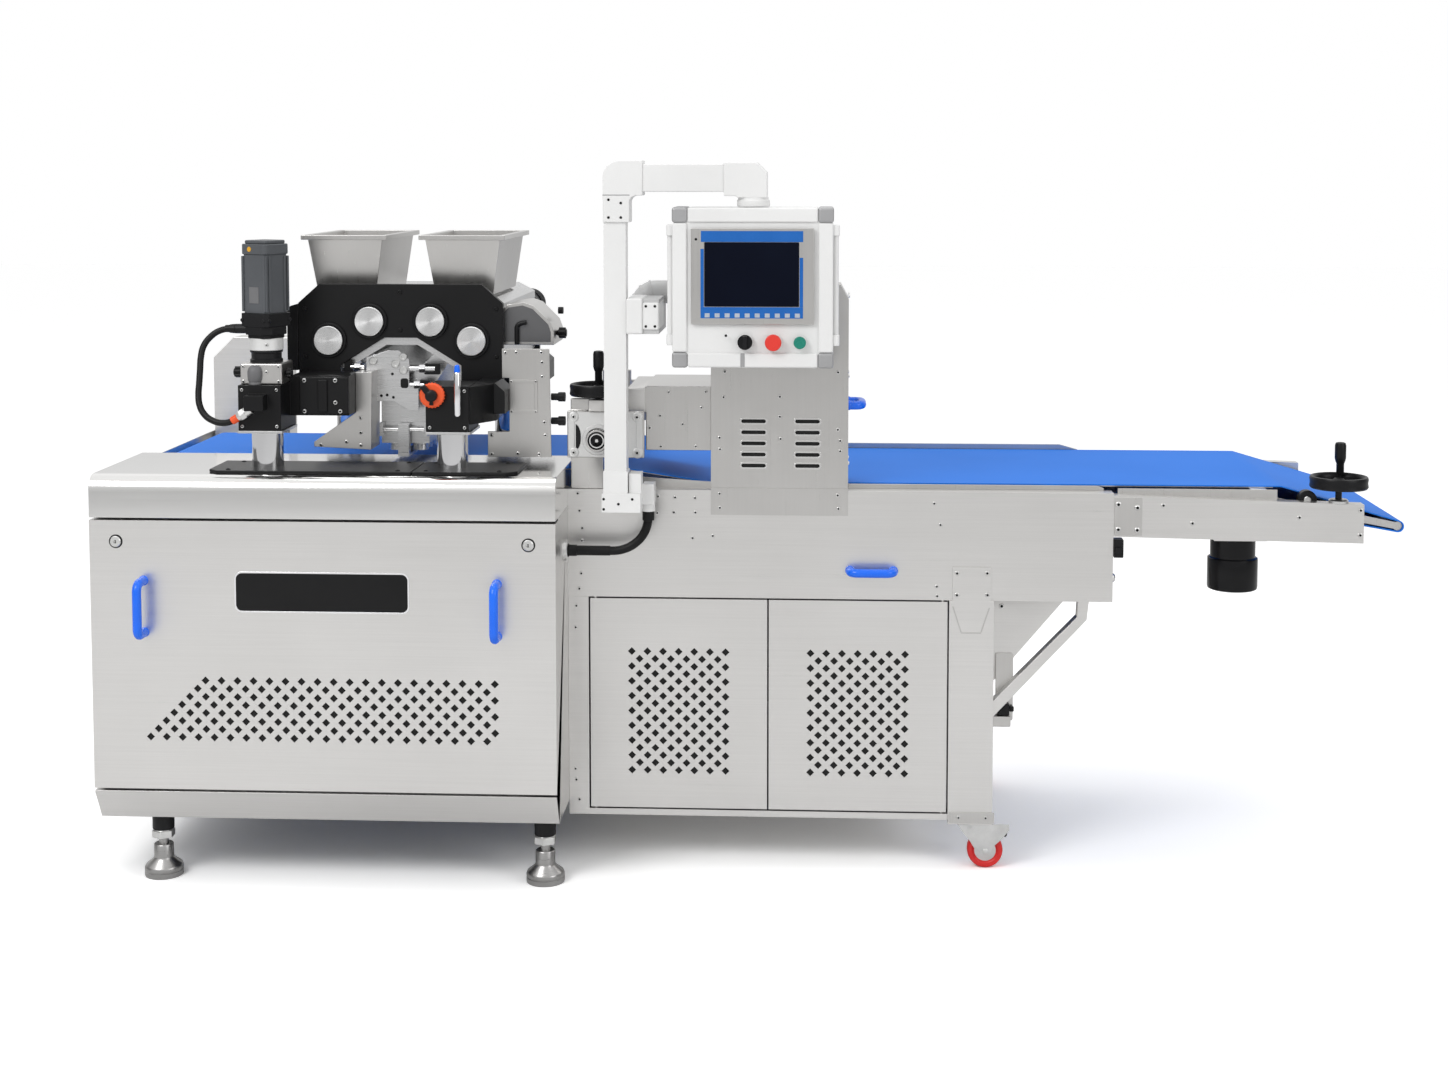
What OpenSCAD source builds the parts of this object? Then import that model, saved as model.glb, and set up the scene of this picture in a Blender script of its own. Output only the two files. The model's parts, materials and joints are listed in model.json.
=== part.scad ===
// Cookie depositor with two hoppers, a lifting roller head, a belt conveyor and a swing-arm panel.
// Millimetres, +Z up, +X along the belt to the discharge nose, origin on the floor under the middle.

/* [Overall] */
// Length from the base cabinet's left side to the discharge nose
overall_len = 3240; // [3000:10:3600]
// Thickness of the sheet steel
sheet_t = 3; // [2:0.5:5]
// Sliding clearance of a shaft in its bore, on the radius
fit = 0.05; // [0.02:0.01:0.1]
// Running clearance between a turning piece and what is beside it
run_gap = 0.5; // [0.4:0.1:1]

/* [Base cabinet] */
// Width of the base cabinet
base_w = 1145; // [1100:5:1200]
// Depth of the base cabinet
base_d = 1085; // [1060:5:1160]
// Height of the top cover above the floor
base_top = 1022; // [1015:1:1040]
// Height of the base cabinet's underside above the floor
base_clear = 160; // [150:1:190]
// Height of the top cover's front face
cover_h = 104; // [90:1:120]
// Radius of the top cover's front edge
cover_round = 38; // [20:1:45]
// Reach of the top cover from front to back
cover_depth = 390; // [375:1:410]
// Height of the sloping skirt
skirt_h = 80; // [60:1:110]
// How far the skirt slopes in
skirt_in = 45; // [20:1:55]
// Open joint between the front sheets
joint_gap = 6; // [3:0.5:10]
// Depth of the front panel's folded tray
tray_d = 60; // [58:1:70]
// Size of the frame's square tube
frame_tube = 60; // [50:1:70]
// Height of the rear deck
deck_z = 975; // [960:1:985]
// Depth of the rear deck
deck_d = 160; // [150:1:165]

/* [Front panel] */
// Side of a square vent hole, across its corners
vent_diag = 20; // [14:0.5:22]
// Pitch of the vent holes along a row
vent_pitch = 39.6; // [36:0.2:46]
// Step between rows of vent holes
vent_step = 20.2; // [19:0.1:24]
// Number of vent rows in the front panel
vent_rows = 8; // [4:1:9]
// Distance of the top row's left end from the panel's edge, at least
vent_left = 270; // [250:1:300]
// Height of the front panel's top vent row
vent_top = 518; // [500:1:560]
// Distance of the vents' right end from the panel's edge
vent_right = 150; // [130:1:170]
// Length of a bow handle
handle_len = 150; // [120:1:180]
// Thickness of a bow handle
handle_t = 22; // [16:1:26]
// Reach of a bow handle from its panel
handle_reach = 45; // [40:1:60]
// Distance of the left front handle from the panel's edge
handle_left = 128; // [100:1:200]
// Distance of the right front handle from the panel's edge
handle_right = 146; // [100:1:200]
// Height of the middle of the front handles
handle_z = 700; // [650:1:760]
// Diameter of a panel lock
lock_d = 27; // [22:1:34]
// Distance of the locks from the panel's side edges
lock_inset = 66; // [55:1:110]
// Height of the locks
lock_z = 860; // [830:1:870]

/* [Feet] */
// Diameter of a foot's pad
pad_d = 95; // [70:1:110]
// Diameter of a foot's stud
stud_d = 24; // [16:1:30]
// Distance of the left feet from the base's left side
foot_left = 140; // [80:1:200]
// Distance of the right feet from the base's right side
foot_right = 42; // [36:1:120]

/* [Conveyor] */
// Distance of the conveyor's front panel behind the base's front
conv_setback = 230; // [225:1:250]
// Reach of the belt's tip past the nose beams
nose_past = 115; // [100:1:130]
// Height of the side panels' lower edge
conv_z0 = 687; // [670:1:700]
// Height of the side panels' upper edge
conv_z1 = 961; // [955:1:966]
// Distance of the conveyor's rear panel from the base's back
back_margin = 115; // [105:1:125]
// Distance from a side panel's outside to the belt's edge
belt_edge = 60; // [55:1:70]
// Thickness of the belt
belt_t = 3; // [2:0.5:4]
// Height of the belt under the head
belt_hi = 1006; // [1000:1:1008]
// Height of the belt along the conveyor
belt_lo = 974; // [970:1:980]
// Diameter of the belt's tail drum, over which its inner face runs
tail_d = 88; // [86:1:98]
// Radius of the nose bar under the belt
nose_r = 12; // [10:0.5:14]
// Height of the nose bar's centre
nose_z = 874; // [868:1:885]
// Length of the sloping nose
nose_len = 290; // [250:5:320]

/* [Nose] */
// Length of the nose beams
beam_len = 614; // [580:2:640]
// Thickness of a nose beam
beam_t = 36; // [30:1:40]
// Height of a beam at the side panel
beam_h0 = 104; // [90:1:110]
// Height of a beam at its free end
beam_h1 = 86; // [70:1:95]
// Height of the beam's lower edge
beam_z = 852; // [845:1:856]
// Drop of the beam's lower edge towards its free end
beam_drop = 11; // [0:1:16]
// Diameter of the drive motor's cap
drive_d = 124; // [100:1:135]
// Diameter of a handwheel's rim
wheel_d = 142; // [120:1:150]
// Thickness of a handwheel's rim
wheel_t = 20; // [14:1:24]

/* [Right cabinet] */
// Width of one door
door_w = 448; // [430:1:452]
// Height of the doors
door_h = 538; // [500:1:545]
// Thickness of a door's folded tray
door_t = 20; // [16:1:24]
// Gap round a door
door_gap = 4; // [3.8:0.1:6]
// Width of the frame's left strip
strip_w = 52; // [40:1:60]
// Width of a leg
leg_w = 112; // [100:1:120]
// Depth of a leg
leg_d = 60; // [50:1:70]
// Height of the legs' underside
leg_z0 = 116; // [112:1:130]
// Height of a leg's top tongue
leg_top = 772; // [740:1:800]
// Diameter of a caster wheel
caster_d = 90; // [80:1:96]
// Width of a caster wheel
caster_w = 32; // [24:1:36]
// Trail of a caster wheel behind its swivel
caster_trail = 40; // [30:1:45]

/* [Head] */
// Distance of the head's middle from the base's right side
head_from_right = 430; // [405:1:455]
// Distance of the guide posts in front of the conveyor panel
post_front = 95; // [90:1:100]
// Distance of the left post from the head's middle
post_left = 307; // [295:1:315]
// Distance of the right post from the head's middle
post_right = 157; // [150:1:165]
// Diameter of a guide post
post_d = 78; // [60:1:84]
// Thickness of the plate under the posts
post_plate_t = 8; // [5:1:12]
// Height of the lift housings' underside
lift_z0 = 1125; // [1110:1:1140]
// Height of the lift housings
lift_h = 112; // [105:1:120]
// Width of a lift housing
lift_w = 106; // [96:1:112]
// Depth of a lift housing
lift_d = 140; // [120:1:150]
// Lift of the head
lift_travel = 50; // [30:1:60]
// Half width of a side plate
plate_half = 262; // [255:1:275]
// Thickness of a side plate
plate_t = 20; // [14:1:22]
// Height of a side plate's top edge
plate_top = 1474; // [1465:1:1490]
// Height of the arch in a side plate
arch_z = 1338; // [1330:1:1342]
// Distance of the outer rollers from the head's middle
roller_out = 183; // [180:1:186]
// Distance of the inner rollers from the head's middle
roller_in = 78; // [75:1:80]
// Height of the outer rollers
roller_z_out = 1331; // [1329:1:1335]
// Height of the inner rollers
roller_z_in = 1380; // [1378:1:1384]
// Diameter of a feed roller
roller_d = 106; // [96:1:108]
// Diameter of a roller's end cap
cap_d = 74; // [60:1:80]
// Thickness of an end cap
cap_t = 14; // [8:1:18]
// Diameter of a roller's journal
journal_d = 36; // [28:1:44]

/* [Hoppers] */
// Height of the hopper rims
hopper_top = 1597; // [1570:1:1640]
// Width of a hopper inside its rim
hopper_w = 196; // [180:1:204]
// Width of a hopper at its foot
hopper_foot = 150; // [140:1:156]
// Distance of a hopper's top from the belt's near edge
hopper_side = 30; // [22:1:40]
// Distance of a hopper's foot from the belt's near edge
hopper_foot_side = 50; // [45:1:60]
// Distance of a hopper's back from the belt's far edge
hopper_back = 200; // [180:5:220]
// Width of the folded rim
rim_w = 13; // [8:1:18]
// Distance of the hoppers from the head's middle
hopper_off = 152; // [148:1:154]

/* [Drive] */
// Side of the servo motor
motor_w = 80; // [70:1:86]
// Height of the servo motor
motor_h = 180; // [150:1:220]
// Side of the gear head
gear_w = 90; // [86:1:96]
// Turn of the servo motor and its gear head about their axis
motor_turn = -29; // [-40:1:0]
// Height of the gear head
gear_h = 62; // [50:1:75]
// Diameter of the coupling ring
ring_d = 83; // [70:1:92]
// Height of the coupling ring and its collar
ring_h = 60; // [50:1:70]
// Height of the bevel gearbox
bevel_h = 52; // [44:1:60]

/* [Press station] */
// Width of the bearing plate
press_w = 194; // [180:1:200]
// Height of the bearing plate
press_h = 118; // [110:1:124]
// Height of the press roller's axis
press_z = 1088; // [1086:1:1092]
// Diameter of the press roller
press_d = 90; // [70:1:94]
// Travel of the press roller
press_travel = 20; // [10:1:24]
// Width of the tower
tower_w = 344; // [320:1:360]
// Height of the tower's top
tower_top = 1478; // [1450:1:1500]
// Depth of the tower
tower_d = 130; // [110:1:150]

/* [Panel] */
// Distance of the panel post in front of the conveyor panel
mast_front = 120; // [112:1:130]
// Distance of the panel post from the conveyor panel's left end
mast_from_left = 137; // [134:1:144]
// Side of the panel post's tube
mast_w = 54; // [50:1:60]
// Height of the arm's top above the panel
arm_rise = 113; // [105:1:125]
// Height of the arm's tube
arm_h = 70; // [60:1:72]
// Reach of the arm from the post to the panel's swivel
arm_reach = 336; // [330:1:350]
// Width of the panel
panel_w = 390; // [380:1:394]
// Height of the panel
panel_h = 388; // [370:1:392]
// Depth of the panel
panel_d = 118; // [100:1:124]
// Height of the panel's top
panel_top = 1675; // [1668:1:1676]
// Diameter of the panel's buttons
button_d = 36; // [30:1:40]
// Travel of a push button
button_travel = 5; // [3:0.5:6]

/* [Cords] */
// Diameter of the servo cable
cable_d = 16; // [12:1:18]
// Diameter of the panel's hose
hose_d = 22; // [18:1:24]

/* [Hidden] */
$fn = 48;

// Paint and metal colours
STEEL = [0.74, 0.73, 0.72];
BRIGHT = [0.85, 0.85, 0.86];
BLACK = [0.08, 0.08, 0.09];
WHITE = [0.93, 0.93, 0.93];
GREY = [0.6, 0.6, 0.6];
BLUE = [0.1, 0.42, 0.9];
RED = [0.85, 0.15, 0.12];
ORANGE = [0.95, 0.38, 0.12];
GREEN = [0.05, 0.5, 0.4];

// Overlap of a cutting solid past the face it cuts
cut = 1;

// Lengths that follow from the overall sizes
conv_len = overall_len - base_w - beam_len - nose_past;
belt_w = base_d - conv_setback - 2 * belt_edge - back_margin;
vent_cols = floor((base_w - vent_right - vent_left) / vent_pitch) + 1;

// Places along X
x_b0 = -overall_len / 2;
x_b1 = x_b0 + base_w;
x_tip = overall_len / 2;
x_head = x_b1 - head_from_right;
x_c0 = x_b1;
x_c1 = x_c0 + conv_len;
x_door = x_c0 + strip_w;
x_leg = x_door + 2 * door_w + 3 * door_gap;

// Places along Y
y_b1 = (base_d + handle_reach) / 2;
y_b0 = y_b1 - base_d;
y_frame = y_b0 + tray_d;
y_c0 = y_b0 + conv_setback;
y_c1 = y_c0 + belt_w + 2 * belt_edge;
y_mid = (y_c0 + y_c1) / 2;
y_belt0 = y_mid - belt_w / 2;
y_belt1 = y_mid + belt_w / 2;
y_deck = y_b1 - deck_d;

// Heights of the base
cover_z = base_top - cover_h;
panel_z1 = cover_z - joint_gap;
skirt_z = base_clear + skirt_h;
panel_z0 = skirt_z + joint_gap;
rail_top = base_top - sheet_t;

// Belt path, on the belt's inner face
z_hi = belt_hi - belt_t;
z_lo = belt_lo - belt_t;
z_ret = z_hi - tail_d;
belt_ret = z_ret - belt_t;
tail_r = tail_d / 2;
z_tail = (z_hi + z_ret) / 2;
belt_inset = 18;
x_tail = x_b0 + belt_inset + tail_r + belt_t;
ramp_from = 145;
ramp_len = 200;
x_ramp0 = x_c0 + ramp_from;
x_ramp1 = x_ramp0 + ramp_len;
x_nose = x_tip - nose_r - belt_t;
x_bend = x_nose - nose_len;
nose_drop = atan((z_lo - nose_z - nose_r) / nose_len);
nose_rise = atan((z_ret - nose_z + nose_r) / nose_len);
seat_gap = 0.3;
seam_top = 2;
seam_low = 1.2;
bed_t = 3;
bed_under_hi = z_hi - bed_t;
bed_under_lo = z_lo - bed_t;
cross_h = 38;
nose_pivot_z = belt_ret + 18;

// Solid box between two corners
module block(a, b) { translate(a) cube(b - a); }

// Round bars along each axis, from a start point
module bar_x(p, d, l) { translate(p) rotate([0, 90, 0]) cylinder(d = d, h = l); }
module bar_y(p, d, l) { translate(p) rotate([-90, 0, 0]) cylinder(d = d, h = l); }
module bar_z(p, d, l) { translate(p) cylinder(d = d, h = l); }

// Flat outline in X and Z, extruded from y0 to y1
module slab_y(y0, y1) { translate([0, y1, 0]) rotate([90, 0, 0]) linear_extrude(y1 - y0) children(); }

// Flat outline in Y and Z, extruded from x0 to x1
module slab_x(x0, x1) { translate([x0, 0, 0]) rotate([90, 0, 90]) linear_extrude(x1 - x0) children(); }

// Rectangle between two corners
module rect(a, b) { translate(a) square(b - a); }

// Copies its children to the other side of the belt
module both_sides() {
  children();
  translate([0, 2 * y_mid, 0]) mirror([0, 1, 0]) children();
}

// Bow handle with its bar along Z, standing out from the plane y = 0 towards -Y
module bow_handle(l, reach) {
  half = (l - handle_t) / 2;
  out = reach - handle_t / 2;
  for (s = [-1, 1]) {
    bar_y([0, -out, s * half], handle_t, out);
    translate([0, -out, s * half]) sphere(d = handle_t);
  }
  bar_z([0, -out, -half], handle_t, 2 * half);
}

// Corner points of one diamond hole
function diamond(c) = [for (a = [0, 90, 180, 270]) c + vent_diag / 2 * [cos(a), sin(a)]];

// Rectangle from a to b with a diamond hole at every centre
module perforated(a, b, centres) {
  corners = [a, [b[0], a[1]], b, [a[0], b[1]]];
  holes = [for (c = centres) each diamond(c)];
  paths = [[0, 1, 2, 3], for (i = [0 : len(centres) - 1]) [for (k = [0 : 3]) 4 + 4 * i + k]];
  polygon(concat(corners, holes), paths);
}

// Handwheel on a vertical spindle, with its rim's middle at the origin
module handwheel(spindle_d, stem) {
  rim_r = (wheel_d - wheel_t) / 2;
  hub_d = wheel_t + 12;
  web_t = 6;
  grip_d = 28;
  grip_h = 80;
  grip_y = rim_r;
  rotate_extrude() translate([rim_r, 0]) circle(d = wheel_t);
  for (a = [30, 150, 270]) rotate(a) block([0, -wheel_t / 2, -web_t / 2], [rim_r, wheel_t / 2, web_t / 2]);
  bar_z([0, 0, -wheel_t], hub_d, 1.5 * wheel_t);
  bar_z([0, 0, -stem], spindle_d, stem);
  bar_z([0, grip_y, 0], wheel_t / 2, grip_h);
  bar_z([0, grip_y, wheel_t / 2 + cut], grip_d, grip_h);
}

// Sweep of a round cord along points that never run along Y
function unit(v) = v / norm(v);
function heading(p, i) =
  i == 0 ? unit(p[1] - p[0])
  : i == len(p) - 1 ? unit(p[i] - p[i - 1])
  : unit(unit(p[i + 1] - p[i]) + unit(p[i] - p[i - 1]));
function side_of(d) = unit([0, 1, 0] - d[1] * d);
function cord_ring(p, i, r, n) =
  let (d = heading(p, i), u = side_of(d), v = cross(d, u))
  [for (k = [0 : n - 1]) p[i] + r * (u * cos(360 * k / n) + v * sin(360 * k / n))];
module cord(p, d, n) {
  last = len(p) - 1;
  points = [for (i = [0 : last]) each cord_ring(p, i, d / 2, n)];
  walls = [for (i = [0 : last - 1], k = [0 : n - 1]) let (a = i * n + k, b = i * n + (k + 1) % n)
    each [[a, a + n, b], [b, a + n, b + n]]];
  first_cap = [for (k = [1 : n - 2]) [0, k, k + 1]];
  last_cap = [for (k = [1 : n - 2]) [last * n, last * n + k + 1, last * n + k]];
  polyhedron(concat(points), concat(walls, first_cap, last_cap));
}

// Base cabinet

frame_x0 = x_b0 + sheet_t;
frame_x1 = x_b1 - sheet_t;
frame_y1 = y_b1 - sheet_t;
deck_under = deck_z - sheet_t;
side_rail_top = belt_ret - 20;
cross_w = 40;
cross_z0 = z_ret + 7;
cross_z1 = cross_z0 + cross_h;
cross_inset = 160;
pad_inset = 40;
front_rail_h = 100;
shaft_d = 20;
bearing_t = 12;
bearing_half = 45;
y_lip = y_belt0 - 30;
hose_z = 819;
hose_y = y_c0 - 75;
flange_t = 10;

module base_frame() {
  T = frame_tube;
  color(GREY) difference() {
    union() {
      for (x = [frame_x0, frame_x1 - T]) {
        block([x, y_frame, base_clear], [x + T, y_frame + T, rail_top]);
        block([x, frame_y1 - T, base_clear], [x + T, frame_y1, deck_under]);
        block([x, y_frame, base_clear], [x + T, frame_y1, base_clear + T]);
        block([x, y_frame, side_rail_top - T], [x + T, frame_y1, side_rail_top]);
      }
      for (y = [y_frame, frame_y1 - T]) block([frame_x0, y, base_clear], [frame_x1, y + T, base_clear + T]);
      block([frame_x0, y_frame, rail_top - front_rail_h], [frame_x1, y_frame + T, rail_top]);
      block([frame_x0, frame_y1 - T, deck_under - T], [frame_x1, frame_y1, deck_under]);
      for (x = [frame_x0 + cross_inset, frame_x1 - cross_inset - cross_w]) {
        block([x, y_frame + T, cross_z0], [x + cross_w, frame_y1 - T, cross_z1]);
        block([x, y_belt0 + pad_inset, cross_z1], [x + cross_w, y_belt1 - pad_inset, bed_under_hi]);
      }
      block([frame_x0, y_frame + T, side_rail_top], [x_tail + bearing_half, y_frame + T + bearing_t,
        z_tail + bearing_half]);
      block([frame_x0, frame_y1 - T - bearing_t, side_rail_top], [x_tail + bearing_half, frame_y1 - T,
        deck_under]);
    }
    bar_y([x_tail, y_frame, z_tail], shaft_d + 2 * fit, base_d);
  }
}

module drive_roller() {
  front = y_frame + frame_tube + 1;
  back = frame_y1 - frame_tube - 1;
  color(GREY) {
    bar_y([x_tail, y_belt0, z_tail], 2 * (tail_r - seat_gap), belt_w);
    bar_y([x_tail, front, z_tail], shaft_d, back - front);
  }
}

module base_panels() {
  side_top = belt_hi - 6;
  notch = belt_ret - 15;
  y_notch = y_belt1 + 20;
  fold = sheet_t * 1.2;
  color(STEEL) {
    slab_x(x_b0, x_b0 + sheet_t) polygon([[y_frame, base_clear], [y_b1, base_clear], [y_b1, side_top],
      [y_lip, side_top], [y_lip, cover_z], [y_frame, cover_z]]);
    slab_x(x_b1 - sheet_t, x_b1) polygon([[y_frame, base_clear], [y_b1, base_clear], [y_b1, deck_z],
      [y_notch, deck_z], [y_notch, notch], [y_lip, notch], [y_lip, cover_z], [y_frame, cover_z]]);
    bar_x([x_b1, hose_y, hose_z], hose_d + 18, flange_t);
    block([frame_x0, y_b1 - sheet_t, base_clear], [frame_x1, y_b1, deck_under]);
    block([frame_x0, y_deck, deck_under], [frame_x1, y_b1, deck_z]);
    slab_x(x_b0, x_b1) polygon([[y_b0, skirt_z], [y_frame, skirt_z], [y_frame, skirt_z - sheet_t],
      [y_b0 + fold, skirt_z - sheet_t], [y_b0 + skirt_in + fold, base_clear + sheet_t],
      [y_frame, base_clear + sheet_t], [y_frame, base_clear], [y_b0 + skirt_in, base_clear]]);
  }
}

// Section of the top cover in Y and Z, drawn in by e
module cover_section(e, low, back) {
  r = cover_round;
  rect([y_b0 + e, low], [y_b0 + r, base_top - r]);
  translate([y_b0 + r, base_top - r]) circle(r - e);
  rect([y_b0 + r, low], [back, base_top - e]);
}

module base_top_cover() {
  back = y_b0 + cover_depth;
  color(STEEL) {
    slab_x(x_b0, x_b1) difference() {
      cover_section(0, cover_z, back);
      cover_section(sheet_t, cover_z - cut, back + cut);
    }
    for (x = [x_b0, x_b1 - sheet_t]) slab_x(x, x + sheet_t) cover_section(0, cover_z, y_lip);
  }
}

module levelling_feet() {
  pad_h = 12;
  cone_h = 24;
  nut_d = stud_d * 1.9;
  nut_h = stud_d * 0.75;
  hub_d = stud_d + 16;
  color(BRIGHT)
    for (x = [x_b0 + foot_left, x_b1 - foot_right], y = [y_frame + frame_tube / 2, y_b1 - pad_d / 2])
      translate([x, y, 0]) {
        cylinder(d = pad_d, h = pad_h);
        translate([0, 0, pad_h]) cylinder(d1 = pad_d, d2 = hub_d, h = cone_h);
        cylinder(d = stud_d, h = base_clear);
        translate([0, 0, pad_h + cone_h]) cylinder(d = nut_d, h = nut_h, $fn = 6);
        translate([0, 0, base_clear - nut_h]) cylinder(d = nut_d, h = nut_h, $fn = 6);
      }
}

// Lift-off front panel, its handles and locks

function vent_row(r) = let (right = x_b1 - vent_right - (r % 2) * vent_pitch / 2,
  n = vent_cols + floor(r / 2))
  [for (k = [0 : n - 1]) [right - k * vent_pitch, vent_top - r * vent_step]];
lock_shaft_d = 18;
lock_places = [x_b0 + lock_inset, x_b1 - lock_inset];

module base_front_panel() {
  back = y_b0 + sheet_t;
  color(STEEL) {
    difference() {
      slab_y(y_b0, back)
        perforated([x_b0, panel_z0], [x_b1, panel_z1], [for (r = [0 : vent_rows - 1]) each vent_row(r)]);
      for (x = lock_places) bar_y([x, y_b0 - cut, lock_z], lock_shaft_d + 2 * fit, sheet_t + 2 * cut);
    }
    for (x = [x_b0, x_b1 - sheet_t]) block([x, back, panel_z0], [x + sheet_t, y_frame, panel_z1]);
    for (z = [panel_z0, panel_z1 - sheet_t]) block([x_b0, back, z], [x_b1, y_frame, z + sheet_t]);
  }
}

module front_panel_handles() {
  color(BLUE) for (x = [x_b0 + handle_left, x_b1 - handle_right])
    translate([x, y_b0, handle_z]) bow_handle(handle_len, handle_reach);
}

module panel_lock(x) {
  head_t = 5;
  cam_w = 12;
  cam_l = 34;
  color(BRIGHT) {
    bar_y([x, y_b0 - head_t - seat_gap, lock_z], lock_d, head_t);
    bar_y([x, y_b0 - head_t, lock_z], lock_shaft_d, head_t + sheet_t + 2 * cam_w);
    block([x - cam_w / 2, y_b0 + sheet_t + cam_w, lock_z], [x + cam_w / 2, y_b0 + sheet_t + 1.4 * cam_w,
      lock_z + cam_l]);
  }
}
module left_panel_lock() { panel_lock(lock_places[0]); }
module right_panel_lock() { panel_lock(lock_places[1]); }

// Conveyor

conv_flange = belt_edge - 10;
conv_end_top = belt_ret - 12;
cross_places = [for (k = [1 : 3]) k * conv_len / 3.415];
pin_d = 8;
door_pin_in = 12;
left_pin_x = x_door + door_gap + door_pin_in;
right_pin_x = x_leg - door_gap - door_pin_in;
pin_y = y_c0 + door_t / 2;
door_z1 = conv_z0 - door_gap;
door_z0 = door_z1 - door_h;
pan_t = 16;
pan_z1 = door_z0 - door_gap;
pan_z0 = pan_z1 - pan_t;

module conveyor_frame() {
  in = sheet_t;
  color(STEEL) difference() {
    union() {
      both_sides() {
        block([x_c0, y_c0, conv_z0], [x_c1, y_c0 + in, conv_z1]);
        for (z = [conv_z0, conv_z1 - in]) block([x_c0, y_c0, z], [x_c1, y_c0 + conv_flange, z + in]);
      }
      block([x_c1 - in, y_c0, conv_z0], [x_c1, y_c1, conv_end_top]);
      for (d = cross_places) {
        block([x_c0 + d, y_c0, bed_under_lo - cross_h], [x_c0 + d + cross_w, y_c1, conv_z1]);
        block([x_c0 + d, y_c0 + conv_flange, conv_z1], [x_c0 + d + cross_w, y_c1 - conv_flange,
          bed_under_lo]);
      }
    }
    for (x = [left_pin_x, right_pin_x]) bar_z([x, pin_y, conv_z0 - cut], pin_d + 2 * fit, in + 2 * cut);
  }
}

// Belt's upper face, or the bed's, lowered by e
function run_points(x0, x1, e) = [[x0, z_hi - e], [x_ramp0, z_hi - e], [x_ramp1, z_lo - e], [x1, z_lo - e]];
function turned(list) = [for (i = [len(list) - 1 : -1 : 0]) list[i]];

module slider_bed() {
  x0 = x_tail + 25;
  x1 = x_bend - 20;
  color(GREY) slab_y(y_belt0 + 5, y_belt1 - 5)
    polygon(concat(run_points(x0, x1, 0), turned(run_points(x0, x1, bed_t))));
}

// Inside of the belt's loop, grown by e
module belt_loop(e, x1) {
  translate([x_tail, z_tail]) circle(tail_r + e);
  polygon(concat(run_points(x_tail, x1, -e), [[x1, z_ret - e], [x_tail, z_ret - e]]));
}

module belt() {
  color(BLUE) difference() {
    slab_y(y_belt0, y_belt1) belt_loop(belt_t, x_bend);
    slab_y(y_belt0 - cut, y_belt1 + cut) {
      belt_loop(0, x_bend + cut);
      rect([x_bend - seam_top, z_lo - cut], [x_bend + cut, belt_lo + cut]);
      rect([x_bend - seam_low, belt_ret - cut], [x_bend + cut, z_ret + cut]);
    }
  }
}

// Inside of the nose's belt, grown by e
module nose_loop(e, x0) {
  r = nose_r + e;
  top = [x_nose + r * sin(nose_drop), nose_z + r * cos(nose_drop)];
  low = [x_nose - r * sin(nose_rise), nose_z - r * cos(nose_rise)];
  translate([x_nose, nose_z]) circle(r);
  polygon([[x0, z_lo + e], top, [x_nose, nose_z], low, [x0, z_ret - e]]);
}

module belt_nose() {
  color(BLUE) difference() {
    slab_y(y_belt0, y_belt1) nose_loop(belt_t, x_bend);
    slab_y(y_belt0 - cut, y_belt1 + cut) {
      nose_loop(0, x_bend - cut);
      rect([x_bend - cut, z_lo - cut], [x_bend + seam_top, belt_lo + cut]);
      rect([x_bend - cut, belt_ret - cut], [x_bend + seam_low, z_ret + cut]);
    }
  }
}

nose_plate_t = 8;
nose_plate_in = 6;
pivot_d = 16;
y_nose_plate = y_belt0 + nose_plate_in;
pivot_in = 12;

module nose_frame() {
  half = 14;
  plate_clear = 4;
  tip_half = nose_r - 3;
  color(GREY) {
    both_sides() {
      slab_y(y_nose_plate, y_nose_plate + nose_plate_t)
        polygon([[x_bend - half, z_ret + plate_clear], [x_bend - half, nose_pivot_z + half],
          [x_nose, nose_z + tip_half], [x_nose, nose_z - tip_half], [x_bend, z_ret + plate_clear]]);
      bar_y([x_bend, y_c0 + beam_t - pivot_in + 1, nose_pivot_z], pivot_d,
        y_nose_plate - y_c0 - beam_t + pivot_in);
    }
    bar_y([x_nose, y_nose_plate, nose_z], 2 * (nose_r - seat_gap), 2 * (y_mid - y_nose_plate));
  }
}

drive_x = x_c1 + 314;
drive_y = y_c0 + 100;
drive_plate_t = 8;
drive_plate_half = 65;
nose_wheel_x = x_c1 + beam_len - 59;
nose_wheel_y = y_c0 + beam_t / 2;
nose_wheel_z = 993;
boss_h = 96;
boss_d = 34;
spindle_d = 16;
spindle_in = 40;

module nose_beams() {
  tie_x = x_bend - 80;
  boss_top = beam_z + boss_h;
  color(STEEL) difference() {
    union() {
      both_sides() slab_y(y_c0, y_c0 + beam_t)
        polygon([[x_c1, beam_z], [x_c1, beam_z + beam_h0], [x_c1 + beam_len, beam_z + beam_h1],
          [x_c1 + beam_len, beam_z - beam_drop]]);
      block([tie_x, y_c0 + beam_t, bed_under_lo - cross_h], [tie_x + cross_w, y_c1 - beam_t, bed_under_lo]);
      block([drive_x - drive_plate_half, y_c0, beam_z - drive_plate_t], [drive_x + drive_plate_half,
        y_c1, beam_z]);
      bar_z([nose_wheel_x, nose_wheel_y, beam_z], boss_d, boss_h);
    }
    both_sides() bar_y([x_bend, y_c0 + beam_t - pivot_in, nose_pivot_z], pivot_d + 2 * fit, pivot_in + cut);
    bar_z([nose_wheel_x, nose_wheel_y, boss_top - spindle_in], spindle_d + 2 * fit, spindle_in + cut);
  }
}

module nose_motor() {
  top = beam_z - drive_plate_t;
  neck_h = 74;
  cap_h = 82;
  color(BLACK) {
    bar_z([drive_x, drive_y, top - neck_h], drive_d - 8, neck_h);
    bar_z([drive_x, drive_y, top - neck_h - cap_h], drive_d, cap_h);
  }
}

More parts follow.
